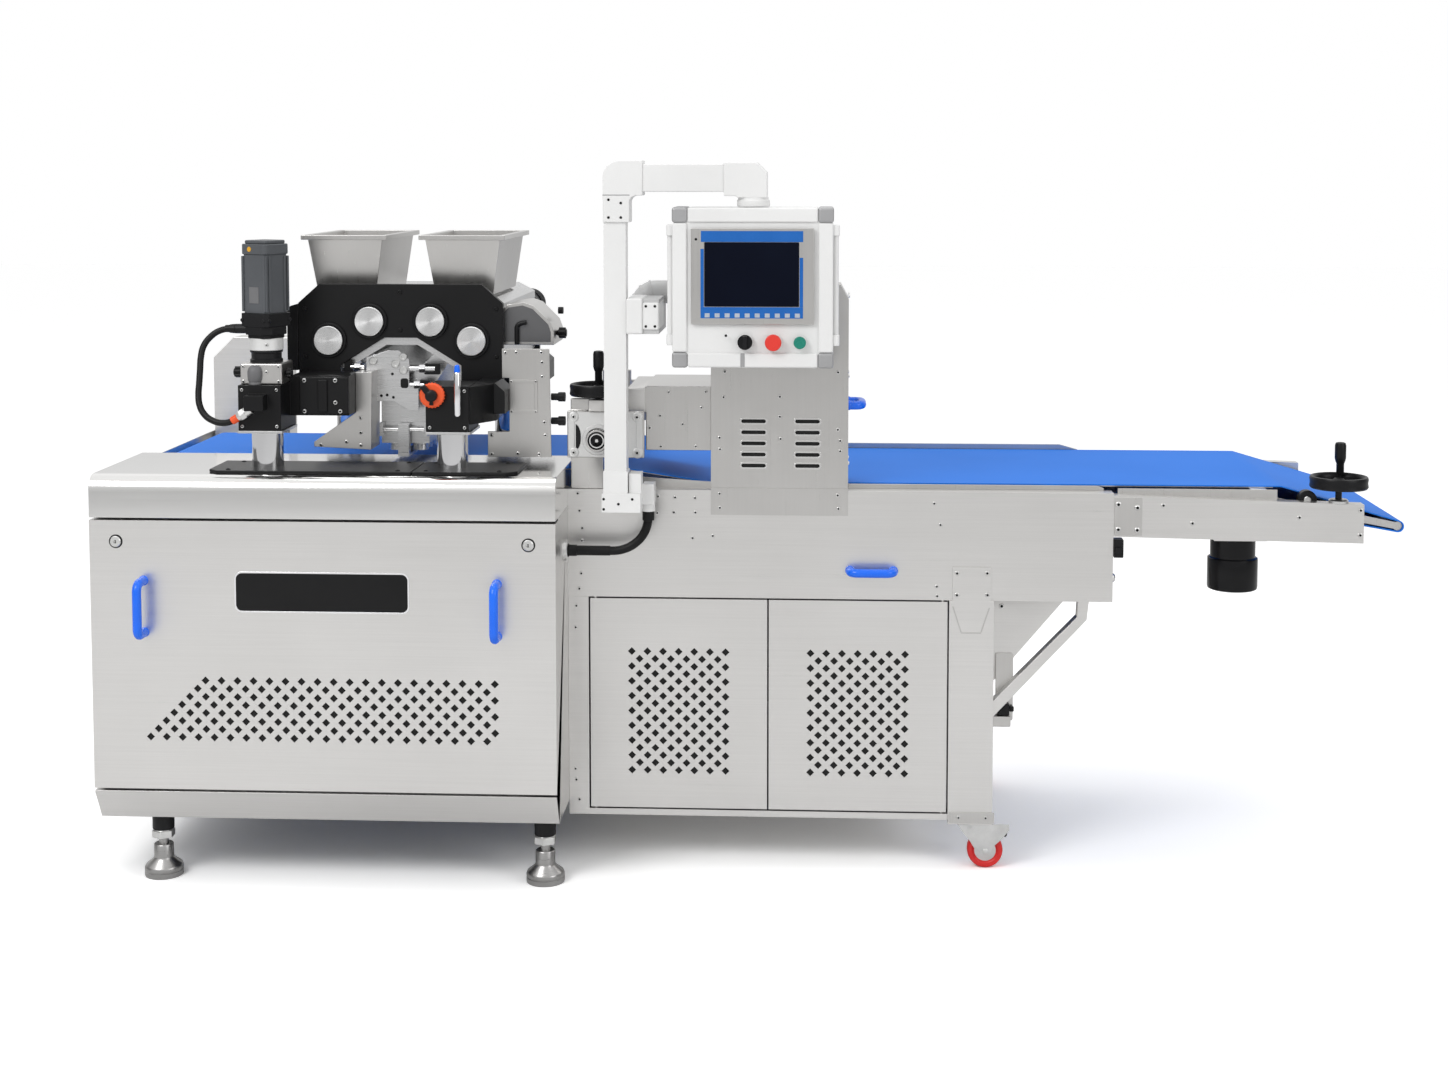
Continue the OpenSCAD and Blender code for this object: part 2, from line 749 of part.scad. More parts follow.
module nose_handwheel() {
  stem = nose_wheel_z - beam_z - boss_h + spindle_in - 2;
  color(BLACK) translate([nose_wheel_x, nose_wheel_y, nose_wheel_z]) handwheel(spindle_d, stem);
}

// Right cabinet with its doors, legs and casters

y_leg0 = y_c0 - 5;
y_leg1 = y_leg0 + leg_d;
strip_d = 55;
pan_pin_in = 10;
door_sheet = 2;
door_vent_rows = 17;
door_vent_cols = 7;
door_vent_step = 19.1;
door_vent_drop = 19;
kingpin_d = 16;
kingpin_in = 40;
king_x = x_leg + leg_w / 2;
king_y = y_leg0 + leg_d / 2;
axle_d = 12;

module cabinet_frame() {
  color(STEEL) difference() {
    union() {
      both_sides() block([x_c0, y_c0, pan_z0], [x_door, y_c0 + strip_d, conv_z0]);
      block([x_c0, y_c0, pan_z0], [x_leg, y_c1, pan_z1]);
      block([x_door, y_c1 - sheet_t, pan_z1], [x_leg, y_c1, conv_z0]);
      block([x_leg - sheet_t, y_c0 + strip_d, pan_z1], [x_leg, y_c1, conv_z0]);
    }
    for (x = [left_pin_x, right_pin_x]) bar_z([x, pin_y, pan_z1 - pan_pin_in], pin_d + 2 * fit,
      pan_pin_in + cut);
  }
}

function door_vents(cx) = [for (r = [0 : door_vent_rows - 1])
  let (n = door_vent_cols - r % 2,
    z = (door_z0 + door_z1) / 2 - door_vent_drop + ((door_vent_rows - 1) / 2 - r) * door_vent_step)
  for (k = [0 : n - 1]) [cx + (k - (n - 1) / 2) * vent_pitch, z]];

module door(x0, pin_x) {
  x1 = x0 + door_w;
  back = y_c0 + door_t;
  in = pan_pin_in - 1;
  color(STEEL) {
    slab_y(y_c0, y_c0 + door_sheet) perforated([x0, door_z0], [x1, door_z1], door_vents((x0 + x1) / 2));
    for (x = [x0, x1 - door_sheet]) block([x, y_c0, door_z0], [x + door_sheet, back, door_z1]);
    for (z = [door_z0, door_z1 - door_sheet]) block([x0, y_c0, z], [x1, back, z + door_sheet]);
    bar_z([pin_x, pin_y, door_z1 - 1], pin_d, 1 + door_gap + sheet_t);
    bar_z([pin_x, pin_y, door_z0 - door_gap - in], pin_d, 1 + door_gap + in);
  }
}
module left_door() { door(x_door + door_gap, left_pin_x); }
module right_door() { door(x_leg - door_gap - door_w, right_pin_x); }

module electrical_tray() {
  y_tray = y_c1 - sheet_t - 25;
  z0 = pan_z1 + 90;
  z1 = conv_z0 - 70;
  x0 = x_door + 60;
  x1 = x_leg - 60;
  box_d = 110;
  color(GREY) {
    block([x0, y_tray, z0], [x1, y_tray + sheet_t, z1]);
    for (x = [x0 + 30, x1 - 30], z = [z0 + 30, z1 - 30]) bar_y([x, y_tray, z], 16, y_c1 - sheet_t - y_tray);
    for (k = [0 : 3]) block([x0 + 40 + 180 * k, y_tray - box_d, z0 + 160], [x0 + 170 + 180 * k, y_tray,
      z1 - 40]);
    block([x0 + 40, y_tray - box_d / 2, z0 + 30], [x1 - 40, y_tray, z0 + 100]);
  }
}

module right_legs() {
  tongue_in = 8;
  brace_w = 185;
  brace_h = 220;
  brace_t = 27;
  brace_gap = 24;
  gusset_t = 8;
  x1 = x_leg + leg_w;
  top = x1 + brace_w + brace_gap;
  low = conv_z0 - brace_h - 1.5 * brace_gap;
  color(STEEL) both_sides() difference() {
    union() {
      block([x_leg, y_leg0, leg_z0], [x1, y_leg1, conv_z0]);
      block([x_leg + tongue_in, y_leg0, conv_z0], [x1 - tongue_in, y_c0, leg_top]);
      slab_y(y_leg1 - gusset_t, y_leg1) polygon([[x1, conv_z0], [x1 + brace_w, conv_z0], [x1,
        conv_z0 - brace_h]]);
      slab_y(y_leg0 + gusset_t, y_leg1 - 2 * gusset_t) polygon([[top, conv_z0], [top + brace_t, conv_z0],
        [top + brace_t - 5, conv_z0 - 47], [x1, low - 1.5 * brace_t], [x1, low],
        [top - 2, conv_z0 - 40]]);
    }
    bar_z([king_x, king_y, leg_z0 - cut], kingpin_d + 2 * fit, kingpin_in + cut);
  }
}

module caster_fork() {
  top = leg_z0 - run_gap;
  crown_t = 12;
  cheek_t = 5;
  half = caster_w / 2 + run_gap;
  axle_x = king_x + caster_trail;
  axle_z = caster_d / 2;
  color(BRIGHT) {
    bar_z([king_x, king_y, top - crown_t], kingpin_d, crown_t + kingpin_in - 2);
    block([king_x - 24, king_y - half - cheek_t, top - crown_t], [axle_x + 14, king_y + half + cheek_t,
      top]);
    for (y = [king_y - half - cheek_t, king_y + half])
      slab_y(y, y + cheek_t) polygon([[king_x - 20, top - crown_t], [axle_x - 14, axle_z - 14],
        [axle_x + 14, axle_z - 14],
        [axle_x + 14, top - crown_t]]);
    bar_y([axle_x, king_y - half - cheek_t, axle_z], axle_d, 2 * (half + cheek_t));
  }
}
module caster_fork_front() { caster_fork(); }
module caster_fork_rear() { translate([0, 2 * (y_mid - king_y), 0]) caster_fork(); }

module caster_wheel() {
  color(RED) translate([king_x + caster_trail, king_y - caster_w / 2, caster_d / 2]) difference() {
    bar_y([0, 0, 0], caster_d, caster_w);
    bar_y([0, -cut, 0], axle_d + 2 * fit, caster_w + 2 * cut);
  }
}
module caster_wheel_front() { caster_wheel(); }
module caster_wheel_rear() { translate([0, 2 * (y_mid - king_y), 0]) caster_wheel(); }

// Lifting head

x_post_l = x_head - post_left;
x_post_r = x_head + post_right;
y_post = y_c0 - post_front;
plate_set = 40;
y_plate0 = y_c0 + plate_set;
y_plate1 = y_plate0 + plate_t;
y_back0 = 2 * y_mid - y_plate1;
y_back1 = 2 * y_mid - y_plate0;
y_post_b = y_back1 + lift_d / 2;
lift_z1 = lift_z0 + lift_h;
guide_grip = 40;
lift_roof = lift_h - lift_travel - guide_grip;
post_top = lift_z1 - lift_roof;
leg_low = lift_z0 + 35;
shoulder = plate_top - 48;
chamfer = 54;
house_half = plate_half - 12;
house_z0 = roller_z_out - roller_d / 2 - 20;
house_z1 = plate_top - 30;
hopper_y = [y_belt0 + hopper_side, y_belt1 - hopper_back];
hopper_foot_y = [y_belt0 + hopper_foot_side, hopper_y[1] - 5];
house_arch = arch_z - 20;
y_die0 = y_plate1 + 30;
y_die1 = y_back0 - 30;
foot_left_reach = 128;
left_arm = -105;
right_arm = 285;
end_plate_y = y_plate0 - 50;
end_plate_t = 4;
rollers = [[-roller_out, roller_z_out], [-roller_in, roller_z_in], [roller_in, roller_z_in], [roller_out,
  roller_z_out]];

// Outline in X and Z about the head's middle
module about_head(y0, y1) { translate([x_head, 0, 0]) slab_y(y0, y1) children(); }

module guide_posts() {
  x0 = x_post_l - foot_left_reach;
  x1 = x_post_r + 172;
  corner = 26;
  y0 = y_b0 + cover_round + 2;
  y1 = 2 * y_post - y0 - 20;
  foot_in = 68;
  color(BLACK) {
    translate([0, 0, base_top]) linear_extrude(post_plate_t)
      polygon([[x0 + corner, y0], [x1 - corner, y0], [x1, y0 + corner], [x1, y1], [x0, y1], [x0,
        y0 + corner]]);
    block([x0, y_post_b - foot_in, deck_z], [x1, y_post_b + foot_in, deck_z + post_plate_t]);
  }
  color(BRIGHT) for (x = [x_post_l, x_post_r]) {
    bar_z([x, y_post, base_top + post_plate_t], post_d, post_top - base_top - post_plate_t);
    bar_z([x, y_post_b, deck_z + post_plate_t], post_d, post_top - deck_z - post_plate_t);
  }
}

module rear_drive_box() {
  h = 300;
  x0 = x_b0 + 8;
  w = x_post_l - foot_left_reach - 50 - x0;
  slope = 0.27 * w;
  y1 = y_b1 - 10;
  color(STEEL) slab_y(y1 - 85, y1)
    polygon([[x0, deck_z], [x0 + w, deck_z], [x0 + w, deck_z + h], [x0 + slope, deck_z + h], [x0,
      deck_z + h - slope]]);
}

// Servo cable from the gear head to the housing
gear_z = lift_z1 + bevel_h + ring_h;
cable_steps = [[-72, -15, 23], [-84, -15, 23], [-111, -19, 18], [-133, -24, 3], [-149, -30, -20],
  [-154, -37, -47], [-154, -45, -77], [-154, -53, -107], [-154, -61, -137], [-149, -69, -162],
  [-135, -76, -184], [-113, -82, -198], [-88, -87, -203], [-63, -90, -198], [-41, -90, -184]];
cable_route = [for (p = cable_steps) p + [x_post_l, y_post, gear_z]];
cable_end = cable_route[len(cable_route) - 1];
cable_in = heading(cable_route, len(cable_route) - 1);

module lift_housings() {
  knob_z = lift_z0 + 91;
  arm_z0 = lift_z0 + 28;
  arm_y0 = y_plate0 - 120;
  hw = lift_w / 2;
  hd = lift_d / 2;
  color(STEEL) difference() {
    union() {
      for (x = [x_post_l, x_post_r]) {
        block([x - hw, y_post - hd, lift_z0], [x + hw, y_post + hd, lift_z1]);
        block([x - hw, y_post_b - hd, lift_z0], [x + hw, y_post_b + hd, lift_z1]);
      }
      both_sides() {
        block([x_post_l + hw, arm_y0, arm_z0], [x_head + left_arm, y_plate0, lift_z1 + 15]);
        slab_y(arm_y0, y_plate0) polygon([[x_post_r + hw, arm_z0 + 7], [x_head + right_arm, arm_z0 + 7],
          [x_head + right_arm, lift_z1 - 22], [x_head + right_arm - 25, lift_z1], [x_post_r + hw,
            lift_z1]]);
      }
      block([x_post_l - hw + 25, y_post - hd - 40, lift_z0 + 53], [x_post_l + 20, y_post - hd,
        lift_z0 + 91]);
      translate(cable_end) rotate([0, atan2(cable_in[0], cable_in[2]), 0]) cylinder(d = cable_d + 8,
        h = 30);
    }
    for (x = [x_post_l, x_post_r], y = [y_post, y_post_b])
      bar_z([x, y, lift_z0 - cut], post_d + 2 * fit, lift_h - lift_roof + cut);
    bar_y([knob_x, y_post - hd - cut, knob_z], knob_stem + 2 * fit, knob_in + cut);
  }
}

knob_x = x_post_r - 35;
knob_d = 60;
knob_stem = 16;
knob_in = 14;

module setting_knob() {
  z = lift_z0 + 91;
  y = y_post - lift_d / 2;
  dial_t = 14;
  color(ORANGE) {
    bar_y([knob_x, y - run_gap - dial_t, z], knob_d, dial_t);
    bar_y([knob_x, y - run_gap - 2 * dial_t, z], knob_d / 2, dial_t);
    bar_y([knob_x, y - run_gap, z], knob_stem, run_gap + knob_in - 1);
  }
}

module bevel_gearbox() {
  half = lift_w / 2 - 1;
  knob_l = 30;
  z = lift_z1 + bevel_h / 2;
  color(STEEL) {
    block([x_post_l - half, y_post - half, lift_z1], [x_post_l + half, y_post + half, lift_z1 + bevel_h]);
    bar_x([x_post_l - half - knob_l, y_post, z], bevel_h / 2, knob_l);
    bar_y([x_post_l - half / 2, y_post - half - knob_l, z], bevel_h * 0.7, knob_l);
  }
}

module servo_motor() {
  z0 = lift_z1 + bevel_h;
  gw = gear_w / 2;
  mw = motor_w / 2;
  at = [x_post_l, y_post];
  color(BLACK) {
    bar_z([at[0], at[1], z0], ring_d - 3, ring_h / 2);
    bar_z([at[0], at[1], z0 + ring_h / 2], ring_d, ring_h / 2);
    translate([at[0], at[1], gear_z]) rotate([0, 0, motor_turn]) {
      block([-gw, -gw, 0], [gw, gw, gear_h]);
      block([-mw, -mw, gear_h], [mw, mw, gear_h + motor_h]);
    }
    bar_x(cable_route[0], cable_d + 8, at[0] - gw / 2 - cable_route[0][0]);
  }
}

module motor_cable() { color(BLACK) cord(cable_route, cable_d, 12); }

// Arched plate whose shoulders and top lie lower by the given drop
module side_plate(y0, drop) {
  foot = 155;
  foot_z = arch_z - 70;
  top = 42;
  color(BLACK) difference() {
    about_head(y0, y0 + plate_t) polygon([[-plate_half, leg_low], [-plate_half, shoulder - drop],
      [chamfer - plate_half, plate_top - drop], [plate_half - chamfer, plate_top - drop],
      [plate_half, shoulder - drop], [plate_half, leg_low], [foot, leg_low],
      [foot, foot_z], [top, arch_z], [-top, arch_z], [-foot, foot_z], [-foot, leg_low]]);
    for (r = rollers) bar_y([x_head + r[0], y0 - cut, r[1]], journal_d + 2 * fit, plate_t + 2 * cut);
  }
}
module front_side_plate() { side_plate(y_plate0, 0); }
module rear_side_plate() { side_plate(y_back0, 36); }

module feed_roller(k) {
  p = rollers[k];
  x = x_head + p[0];
  front = y_plate0 - run_gap;
  color(BRIGHT) {
    bar_y([x, y_plate1 + run_gap, p[1]], roller_d, y_back0 - y_plate1 - 2 * run_gap);
    bar_y([x, front - 1, p[1]], journal_d, y_back1 - 1 - front + 1);
    bar_y([x, front - cap_t, p[1]], cap_d, cap_t);
  }
}
module feed_roller_1() { feed_roller(0); }
module feed_roller_2() { feed_roller(1); }
module feed_roller_3() { feed_roller(2); }
module feed_roller_4() { feed_roller(3); }

module roller_housing() {
  foot = 140;
  top = 40;
  throat = hopper_foot - 2 * sheet_t;
  y0 = hopper_foot_y[0] + sheet_t;
  y1 = hopper_foot_y[1] - sheet_t;
  nip = (rollers[0] + rollers[1]) / 2;
  lean = atan2(rollers[1][1] - rollers[0][1], rollers[1][0] - rollers[0][0]);
  slot = 24;
  color(GREY) difference() {
    about_head(y_plate1, y_back0) polygon([[-house_half, house_z0], [-house_half, shoulder - 6],
      [chamfer - house_half - 9, house_z1],
      [house_half - chamfer + 9, house_z1], [house_half, shoulder - 6], [house_half, house_z0], [foot,
        house_z0],
      [top, house_arch], [-top, house_arch], [-foot, house_z0]]);
    for (r = rollers) bar_y([x_head + r[0], y_plate1 - cut, r[1]], roller_d + 2 * run_gap,
      y_back0 - y_plate1 + 2 * cut);
    for (s = [-1, 1]) {
      block([x_head + s * hopper_off - throat / 2, y0, roller_z_in - 10],
        [x_head + s * hopper_off + throat / 2, y1, house_z1 + cut]);
      translate([x_head - s * nip[0], 0, nip[1]]) rotate([0, s * lean, 0]) block([-slot / 2, y0, -150],
        [slot / 2, y1, 0]);
    }
  }
}

// Tapering box from width w0 and reach y0 at its foot to width w1 and reach y1 at its top
module taper(x, w0, w1, y0, y1, z0, z1) {
  intersection() {
    slab_y(y1[0] - w1, y1[1] + w1)
      polygon([[x - w0 / 2, z0], [x + w0 / 2, z0], [x + w1 / 2, z1], [x - w1 / 2, z1]]);
    slab_x(x - w1, x + w1) polygon([[y0[0], z0], [y0[1], z0], [y1[1], z1], [y1[0], z1]]);
  }
}

module hoppers() {
  rim_h = 12;
  in = 2 * sheet_t;
  wall = [sheet_t, -sheet_t];
  color(STEEL) for (s = [-1, 1]) {
    x = x_head + s * hopper_off;
    ow = hopper_w / 2 + rim_w;
    difference() {
      union() {
        taper(x, hopper_foot, hopper_w, hopper_foot_y, hopper_y, house_z1, hopper_top);
        block([x - ow, hopper_y[0] - rim_w, hopper_top - rim_h], [x + ow, hopper_y[1] + rim_w, hopper_top]);
      }
      taper(x, hopper_foot - in, hopper_w - in, hopper_foot_y + wall, hopper_y + wall, house_z1 - cut,
        hopper_top + cut);
    }
  }
}

die_low = 1062;
nozzle_h = 22;
rod_d = 12;
rod_y = y_die0 - 18;
rod_z = die_low + 38;
rod_half = 62;
bracket_t = 10;

module nozzle_die() {
  wing = 115;
  wing_z = house_arch - 45;
  nozzle_d = 40;
  count = 7;
  pitch = (hopper_foot_y[1] - hopper_foot_y[0]) / count;
  drop = seat_gap;
  color(STEEL) difference() {
    union() {
      about_head(y_die0, y_die1) polygon([[-rod_half, die_low], [-rod_half, die_low + 128], [-wing,
        wing_z - drop],
        [drop - 80, wing_z + 21 - drop], [0, wing_z - 48], [80 - drop, wing_z + 21 - drop], [wing,
          wing_z - drop],
        [rod_half, die_low + 128], [rod_half, die_low]]);
      for (k = [0 : count - 1], s = [-1, 1])
        bar_z([x_head + s * 30, hopper_foot_y[0] + (k + 0.5) * pitch, die_low - nozzle_h], nozzle_d,
          nozzle_h + 1);
      both_sides() {
        for (x = [-rod_half, rod_half - bracket_t])
          block([x_head + x, rod_y - 10, rod_z - 17], [x_head + x + bracket_t, y_die0, rod_z + 17]);
        bar_x([x_head - rod_half, rod_y, rod_z], rod_d, 2 * rod_half);
      }
    }
    for (k = [0 : count - 1], s = [-1, 1])
      bar_z([x_head + s * 30, hopper_foot_y[0] + (k + 0.5) * pitch, die_low - nozzle_h - cut], nozzle_d / 2,
        nozzle_h + 80);
  }
}

module wire_cut_frame() {
  half = 14;
  bar_z0 = die_low - nozzle_h - 9;
  bar_h = 6;
  color(BRIGHT) {
    both_sides() difference() {
      block([x_head - half, rod_y - 10, bar_z0], [x_head + half, y_die0 - 6, rod_z + 15]);
      bar_x([x_head - half - cut, rod_y, rod_z], rod_d + 2 * fit, 2 * half + 2 * cut);
    }
    block([x_head - half, rod_y, bar_z0], [x_head + half, 2 * y_mid - rod_y, bar_z0 + bar_h]);
  }
}

module mechanism_plates() {
  y0 = end_plate_y;
  y1 = y0 + end_plate_t;
  low = lift_z0 - 48;
  edge = left_arm + 38;
  guard_top = shoulder + 1;
  guard_low = guard_top - 109;
  guard_x = house_half + 137;
  color(STEEL) {
    about_head(y_plate1 + 16, y_plate1 + 190) polygon([[house_half, guard_low], [house_half, guard_top - 22],
      [house_half + 20, guard_top - 6], [house_half + 60, guard_top], [guard_x - 52, guard_top - 9],
      [guard_x - 8, guard_top - 53], [guard_x, guard_top - 75], [guard_x, guard_low]]);
    about_head(y0, y_die0 - 4) polygon([[left_arm - 108, low], [left_arm, low + 76], [left_arm,
      lift_z1 + 18],
      [left_arm + 42, lift_z1 + 18], [edge, low - 19], [left_arm - 108, low - 12]]);
    about_head(y0, y1) polygon([[right_arm - 55, low - 35], [right_arm + 106, low - 35],
      [right_arm + 102, low + 239], [right_arm - 18, low + 239], [right_arm - 18, lift_z1 + 5],
      [right_arm, lift_z1 + 5], [right_arm, low + 30], [right_arm - 55, low + 30]]);
  }
}

module feed_motor() {
  case_d = 60;
  color(GREY) {
    block([x_head - 185, y_back1, roller_z_in - 90], [x_head + 185, y_back1 + case_d, roller_z_in + 60]);
    bar_y([x_head + 215, y_back1, roller_z_in - 8], 80, 150);
  }
}

// Press roller, tower and panel

press_x = x_c0 + 78;
slot_half = 21;
slot_spare = 4;
bush_h = 44;
press_shaft = 24;
press_plate_t = 15;
y_press0 = y_c0 - 10;
y_press1 = y_press0 + press_plate_t;
upright_t = 12;
press_z0 = press_z - 46;
press_boss_h = 30;
press_wheel_z = press_z0 + press_h + 55;
press_wheel_y = y_c0;
tower_x0 = x_c0 + 362;
tower_x1 = tower_x0 + tower_w;
tower_low = belt_hi + 9;

module press_station() {
  z1 = press_z0 + press_h;
  gear_x = x_c0 + 150;
  gear_y1 = y_c0 + 300;
  color(WHITE) difference() {
    union() {
      both_sides() block([x_c0 + 1, y_press0, press_z0], [x_c0 + 1 + press_w, y_press1, z1]);
      both_sides() block([x_c0 + 8, y_press1, conv_z1], [x_c0 + 90, y_press1 + upright_t,
        z1 + press_boss_h]);
      block([press_x - 22, y_c0 - 22, z1], [press_x + 22, y_press1, z1 + press_boss_h]);
      block([gear_x, y_c0 + 20, press_z + 65], [gear_x + 46, gear_y1, z1 + 56]);
      block([gear_x + 46, y_c0 + 20, press_z - 30], [tower_x0, gear_y1, z1 + 61]);
    }
    both_sides() block([press_x - slot_half, y_press0 - cut, press_z - bush_h / 2],
      [press_x + slot_half, y_press1 + upright_t + cut, press_z + bush_h / 2 + press_travel + slot_spare]);
    bar_z([press_x, press_wheel_y, z1 + press_boss_h - 26], spindle_d + 2 * fit, 26 + cut);
  }
}

module press_carriage() {
  half = slot_half - seat_gap;
  color(BLACK) both_sides() difference() {
    block([press_x - half, y_press0 - 6, press_z - bush_h / 2], [press_x + half,
      y_press1 + upright_t + 2, press_z + bush_h / 2]);
    bar_y([press_x, y_press0 - 6 - cut, press_z], press_shaft + 2 * fit,
      press_plate_t + upright_t + 8 + 2 * cut);
  }
}

module press_roller() {
  front = y_press0 - 6 - run_gap;
  knob_l = 18;
  color(GREY) {
    bar_y([press_x, y_belt0 + 5, press_z], press_d, belt_w - 10);
    bar_y([press_x, front - knob_l, press_z], 54, knob_l);
    bar_y([press_x, front - 1, press_z], press_shaft, 2 * (y_mid - y_press0) + 8);
  }
}

module press_handwheel() {
  stem = press_wheel_z - press_z0 - press_h - press_boss_h + 25;
  color(BLACK) translate([press_x, press_wheel_y, press_wheel_z]) handwheel(spindle_d, stem);
}

// Outline of the tower's front, drawn in by e
module tower_front(e, low) {
  polygon([[tower_x0 + e, low], [tower_x0 + e, tower_top - e], [tower_x1 - 20 - e, tower_top - e],
    [tower_x1 - e, tower_top - 37 - e], [tower_x1 - e, low]]);
}

module tower_housing() {
  foot_d = belt_edge - 10;
  vent_w = 62;
  vent_h = 10;
  vent_rise = 28;
  color(STEEL) difference() {
    union() {
      slab_y(y_c0, y_c0 + tower_d) tower_front(0, tower_low);
      block([tower_x0, y_c0, conv_z1], [tower_x1, y_c0 + foot_d, tower_low]);
      block([tower_x0, y_c0 - sheet_t, conv_z1 - 62], [tower_x1, y_c0, conv_z1 + 6]);
    }
    slab_y(y_c0 + sheet_t, y_c0 + tower_d - sheet_t) tower_front(sheet_t, tower_low + sheet_t);
    for (x = [76, 211], k = [0 : 4]) {
      z = tower_low + sheet_t + 1 + vent_rise * k;
      block([tower_x0 + x, y_c0 - cut, z], [tower_x0 + x + vent_w, y_c0 + sheet_t + cut, z + vent_h]);
    }
  }
}

module fixed_handles() {
  l = handle_len - 20;
  color(BLUE) {
    translate([x_c0 + 766, y_c0, conv_z0 + 73]) rotate([0, 90, 0]) bow_handle(l, handle_reach);
    translate([tower_x1, y_c0 + tower_d / 2, tower_low + 160]) rotate([0, 0, 90]) rotate([0, 90,
      0]) bow_handle(110, handle_reach);
  }
}

mast_x = x_c0 + mast_from_left;
mast_y = y_c0 - mast_front;
arm_top = panel_top + arm_rise;
mast_top = arm_top - 151;
foot_top = conv_z1 + 14;
spigot_d = 44;
spigot_h = 60;
swivel_x = mast_x + arm_reach;
swivel_d = 40;
panel_z = panel_top - panel_h;
panel_front = mast_y - panel_d / 2;
hose_x = mast_x + 74;
stem_d = 22;
stem_in = 24;
button_z = panel_z + 63;
button_x = [swivel_x - 18, swivel_x + 50, swivel_x + 114];

module panel_post() {
  hw = mast_w / 2;
  collar = hw + 3;
  fitting = 25;
  gland_h = 20;
  color(WHITE) {
    block([mast_x - hw, mast_y - hw, foot_top], [mast_x + hw, mast_y + hw, mast_top]);
    block([mast_x - collar, mast_y - collar, foot_top], [mast_x + collar, mast_y + collar, foot_top + 54]);
    block([mast_x - 33, mast_y - 38, foot_top - 46], [mast_x + 62, y_c0, foot_top]);
    block([mast_x + 32, mast_y - 20, foot_top], [mast_x + 62, mast_y + 30, foot_top + 47]);
    block([mast_x + 62, hose_y - fitting, foot_top - 35], [mast_x + 90, hose_y + fitting, foot_top + 15]);
    bar_z([hose_x, hose_y, foot_top - 35 - gland_h], hose_d + 12, gland_h + 1);
    bar_z([mast_x, mast_y, mast_top], spigot_d, spigot_h);
  }
}

// Hose from the post's fitting to the base
hose_steps = [[0, 101], [0, 88], [-1, 76], [-4, 62], [-10, 47], [-19, 33], [-30, 22], [-44, 12], [-60, 5],
  [-76, 1], [-94, 0], [-116, 0], [-141, 0], [-166, 0], [-186, 0], [-201, 0]];
hose_route = [for (p = hose_steps) [hose_x + p[0], hose_y, hose_z + p[1]]];
module hose() { color(GREY) cord(hose_route, hose_d, 12); }

module stay_pipe() {
  pipe_d = mast_w + 4;
  bend = 34;
  clamp_h = 84;
  x = mast_x + 50;
  y = y_c0 + 42;
  z = tower_top - 21;
  low = panel_z + 79;
  color(WHITE) {
    block([mast_x + mast_w / 2, mast_y - mast_w / 2, low], [x + 57, y + pipe_d / 2, low + clamp_h]);
    bar_z([x, y, low + 1], pipe_d, z - bend - low - 1);
    translate([x + bend, y, z - bend]) rotate([90, 0, 0]) rotate([0, 0, 90]) rotate_extrude(angle = 90)
      translate([bend, 0]) circle(d = pipe_d);
    bar_x([x + bend, y, z], pipe_d, tower_x0 - x - bend);
  }
}

module panel_arm() {
  half = 33;
  elbow_l = 28;
  elbow_r = 36;
  reach = 69;
  drop = 10;
  end_l = 72;
  coupling_d = 76;
  socket_in = 12;
  tube_z = arm_top - drop - arm_h;
  color(WHITE) difference() {
    union() {
      slab_y(mast_y - half, mast_y + half) polygon([[mast_x - elbow_l, mast_top], [mast_x - elbow_l,
        arm_top - 30],
        [mast_x - elbow_l + 30, arm_top], [mast_x + reach, arm_top], [mast_x + reach, tube_z - drop],
        [mast_x + elbow_r, tube_z - drop - 16], [mast_x + elbow_r, mast_top]]);
      block([mast_x + reach - socket_in, mast_y - half + 2, tube_z], [swivel_x - end_l + socket_in,
        mast_y + half - 2, tube_z + arm_h]);
      slab_y(mast_y - half, mast_y + half) polygon([[swivel_x - end_l, tube_z - 10], [swivel_x - end_l,
        tube_z + arm_h],
        [swivel_x + 8, tube_z + arm_h], [swivel_x + 34, tube_z + arm_h - 26], [swivel_x + 34,
          tube_z - 10]]);
      bar_z([swivel_x, mast_y, panel_top + run_gap], coupling_d, tube_z - 9 - panel_top - run_gap);
    }
    bar_z([mast_x, mast_y, mast_top - cut], spigot_d + 2 * fit, spigot_h + 1 + cut);
    bar_z([swivel_x, mast_y, panel_top - cut], swivel_d + 2 * fit, spigot_h + 1 + cut);
  }
}

module panel_enclosure() {
  hw = panel_w / 2;
  back = mast_y + panel_d / 2;
  in = sheet_t;
  grip_z0 = panel_z + 54;
  grip_z1 = panel_top - 43;
  color(WHITE) {
    difference() {
      block([swivel_x - hw, panel_front, panel_z], [swivel_x + hw, back, panel_top]);
      block([swivel_x - hw + in, panel_front + in, panel_z + in], [swivel_x + hw - in, back - in,
        panel_top - in]);
      for (x = button_x) bar_y([x, panel_front - cut, button_z], stem_d + 2 * fit, in + 2 * cut);
    }
    bar_z([swivel_x, mast_y, panel_top - 1], swivel_d, spigot_h);
    for (s = [-1, 1]) translate([swivel_x, 0, 0]) mirror([s < 0 ? 1 : 0, 0, 0]) {
      block([hw + 10, mast_y - 20, grip_z0], [hw + 18, mast_y + 20, grip_z1]);
      for (z = [grip_z0, grip_z1 - 20]) block([hw, mast_y - 20, z], [hw + 10, mast_y + 20, z + 20]);
    }
  }
}

module panel_screen() {
  w = 296;
  h = 232;
  top = panel_top - 50;
  color(BLUE) block([swivel_x - w / 2, panel_front - 6, top - h], [swivel_x + w / 2, panel_front, top]);
}

// Head of a control standing off the panel's face, with its stem
module control(x, d, off, t) {
  bar_y([x, panel_front - off - t, button_z], d, t);
  bar_y([x, panel_front - off - 1, button_z], stem_d, off + 1 + stem_in);
}

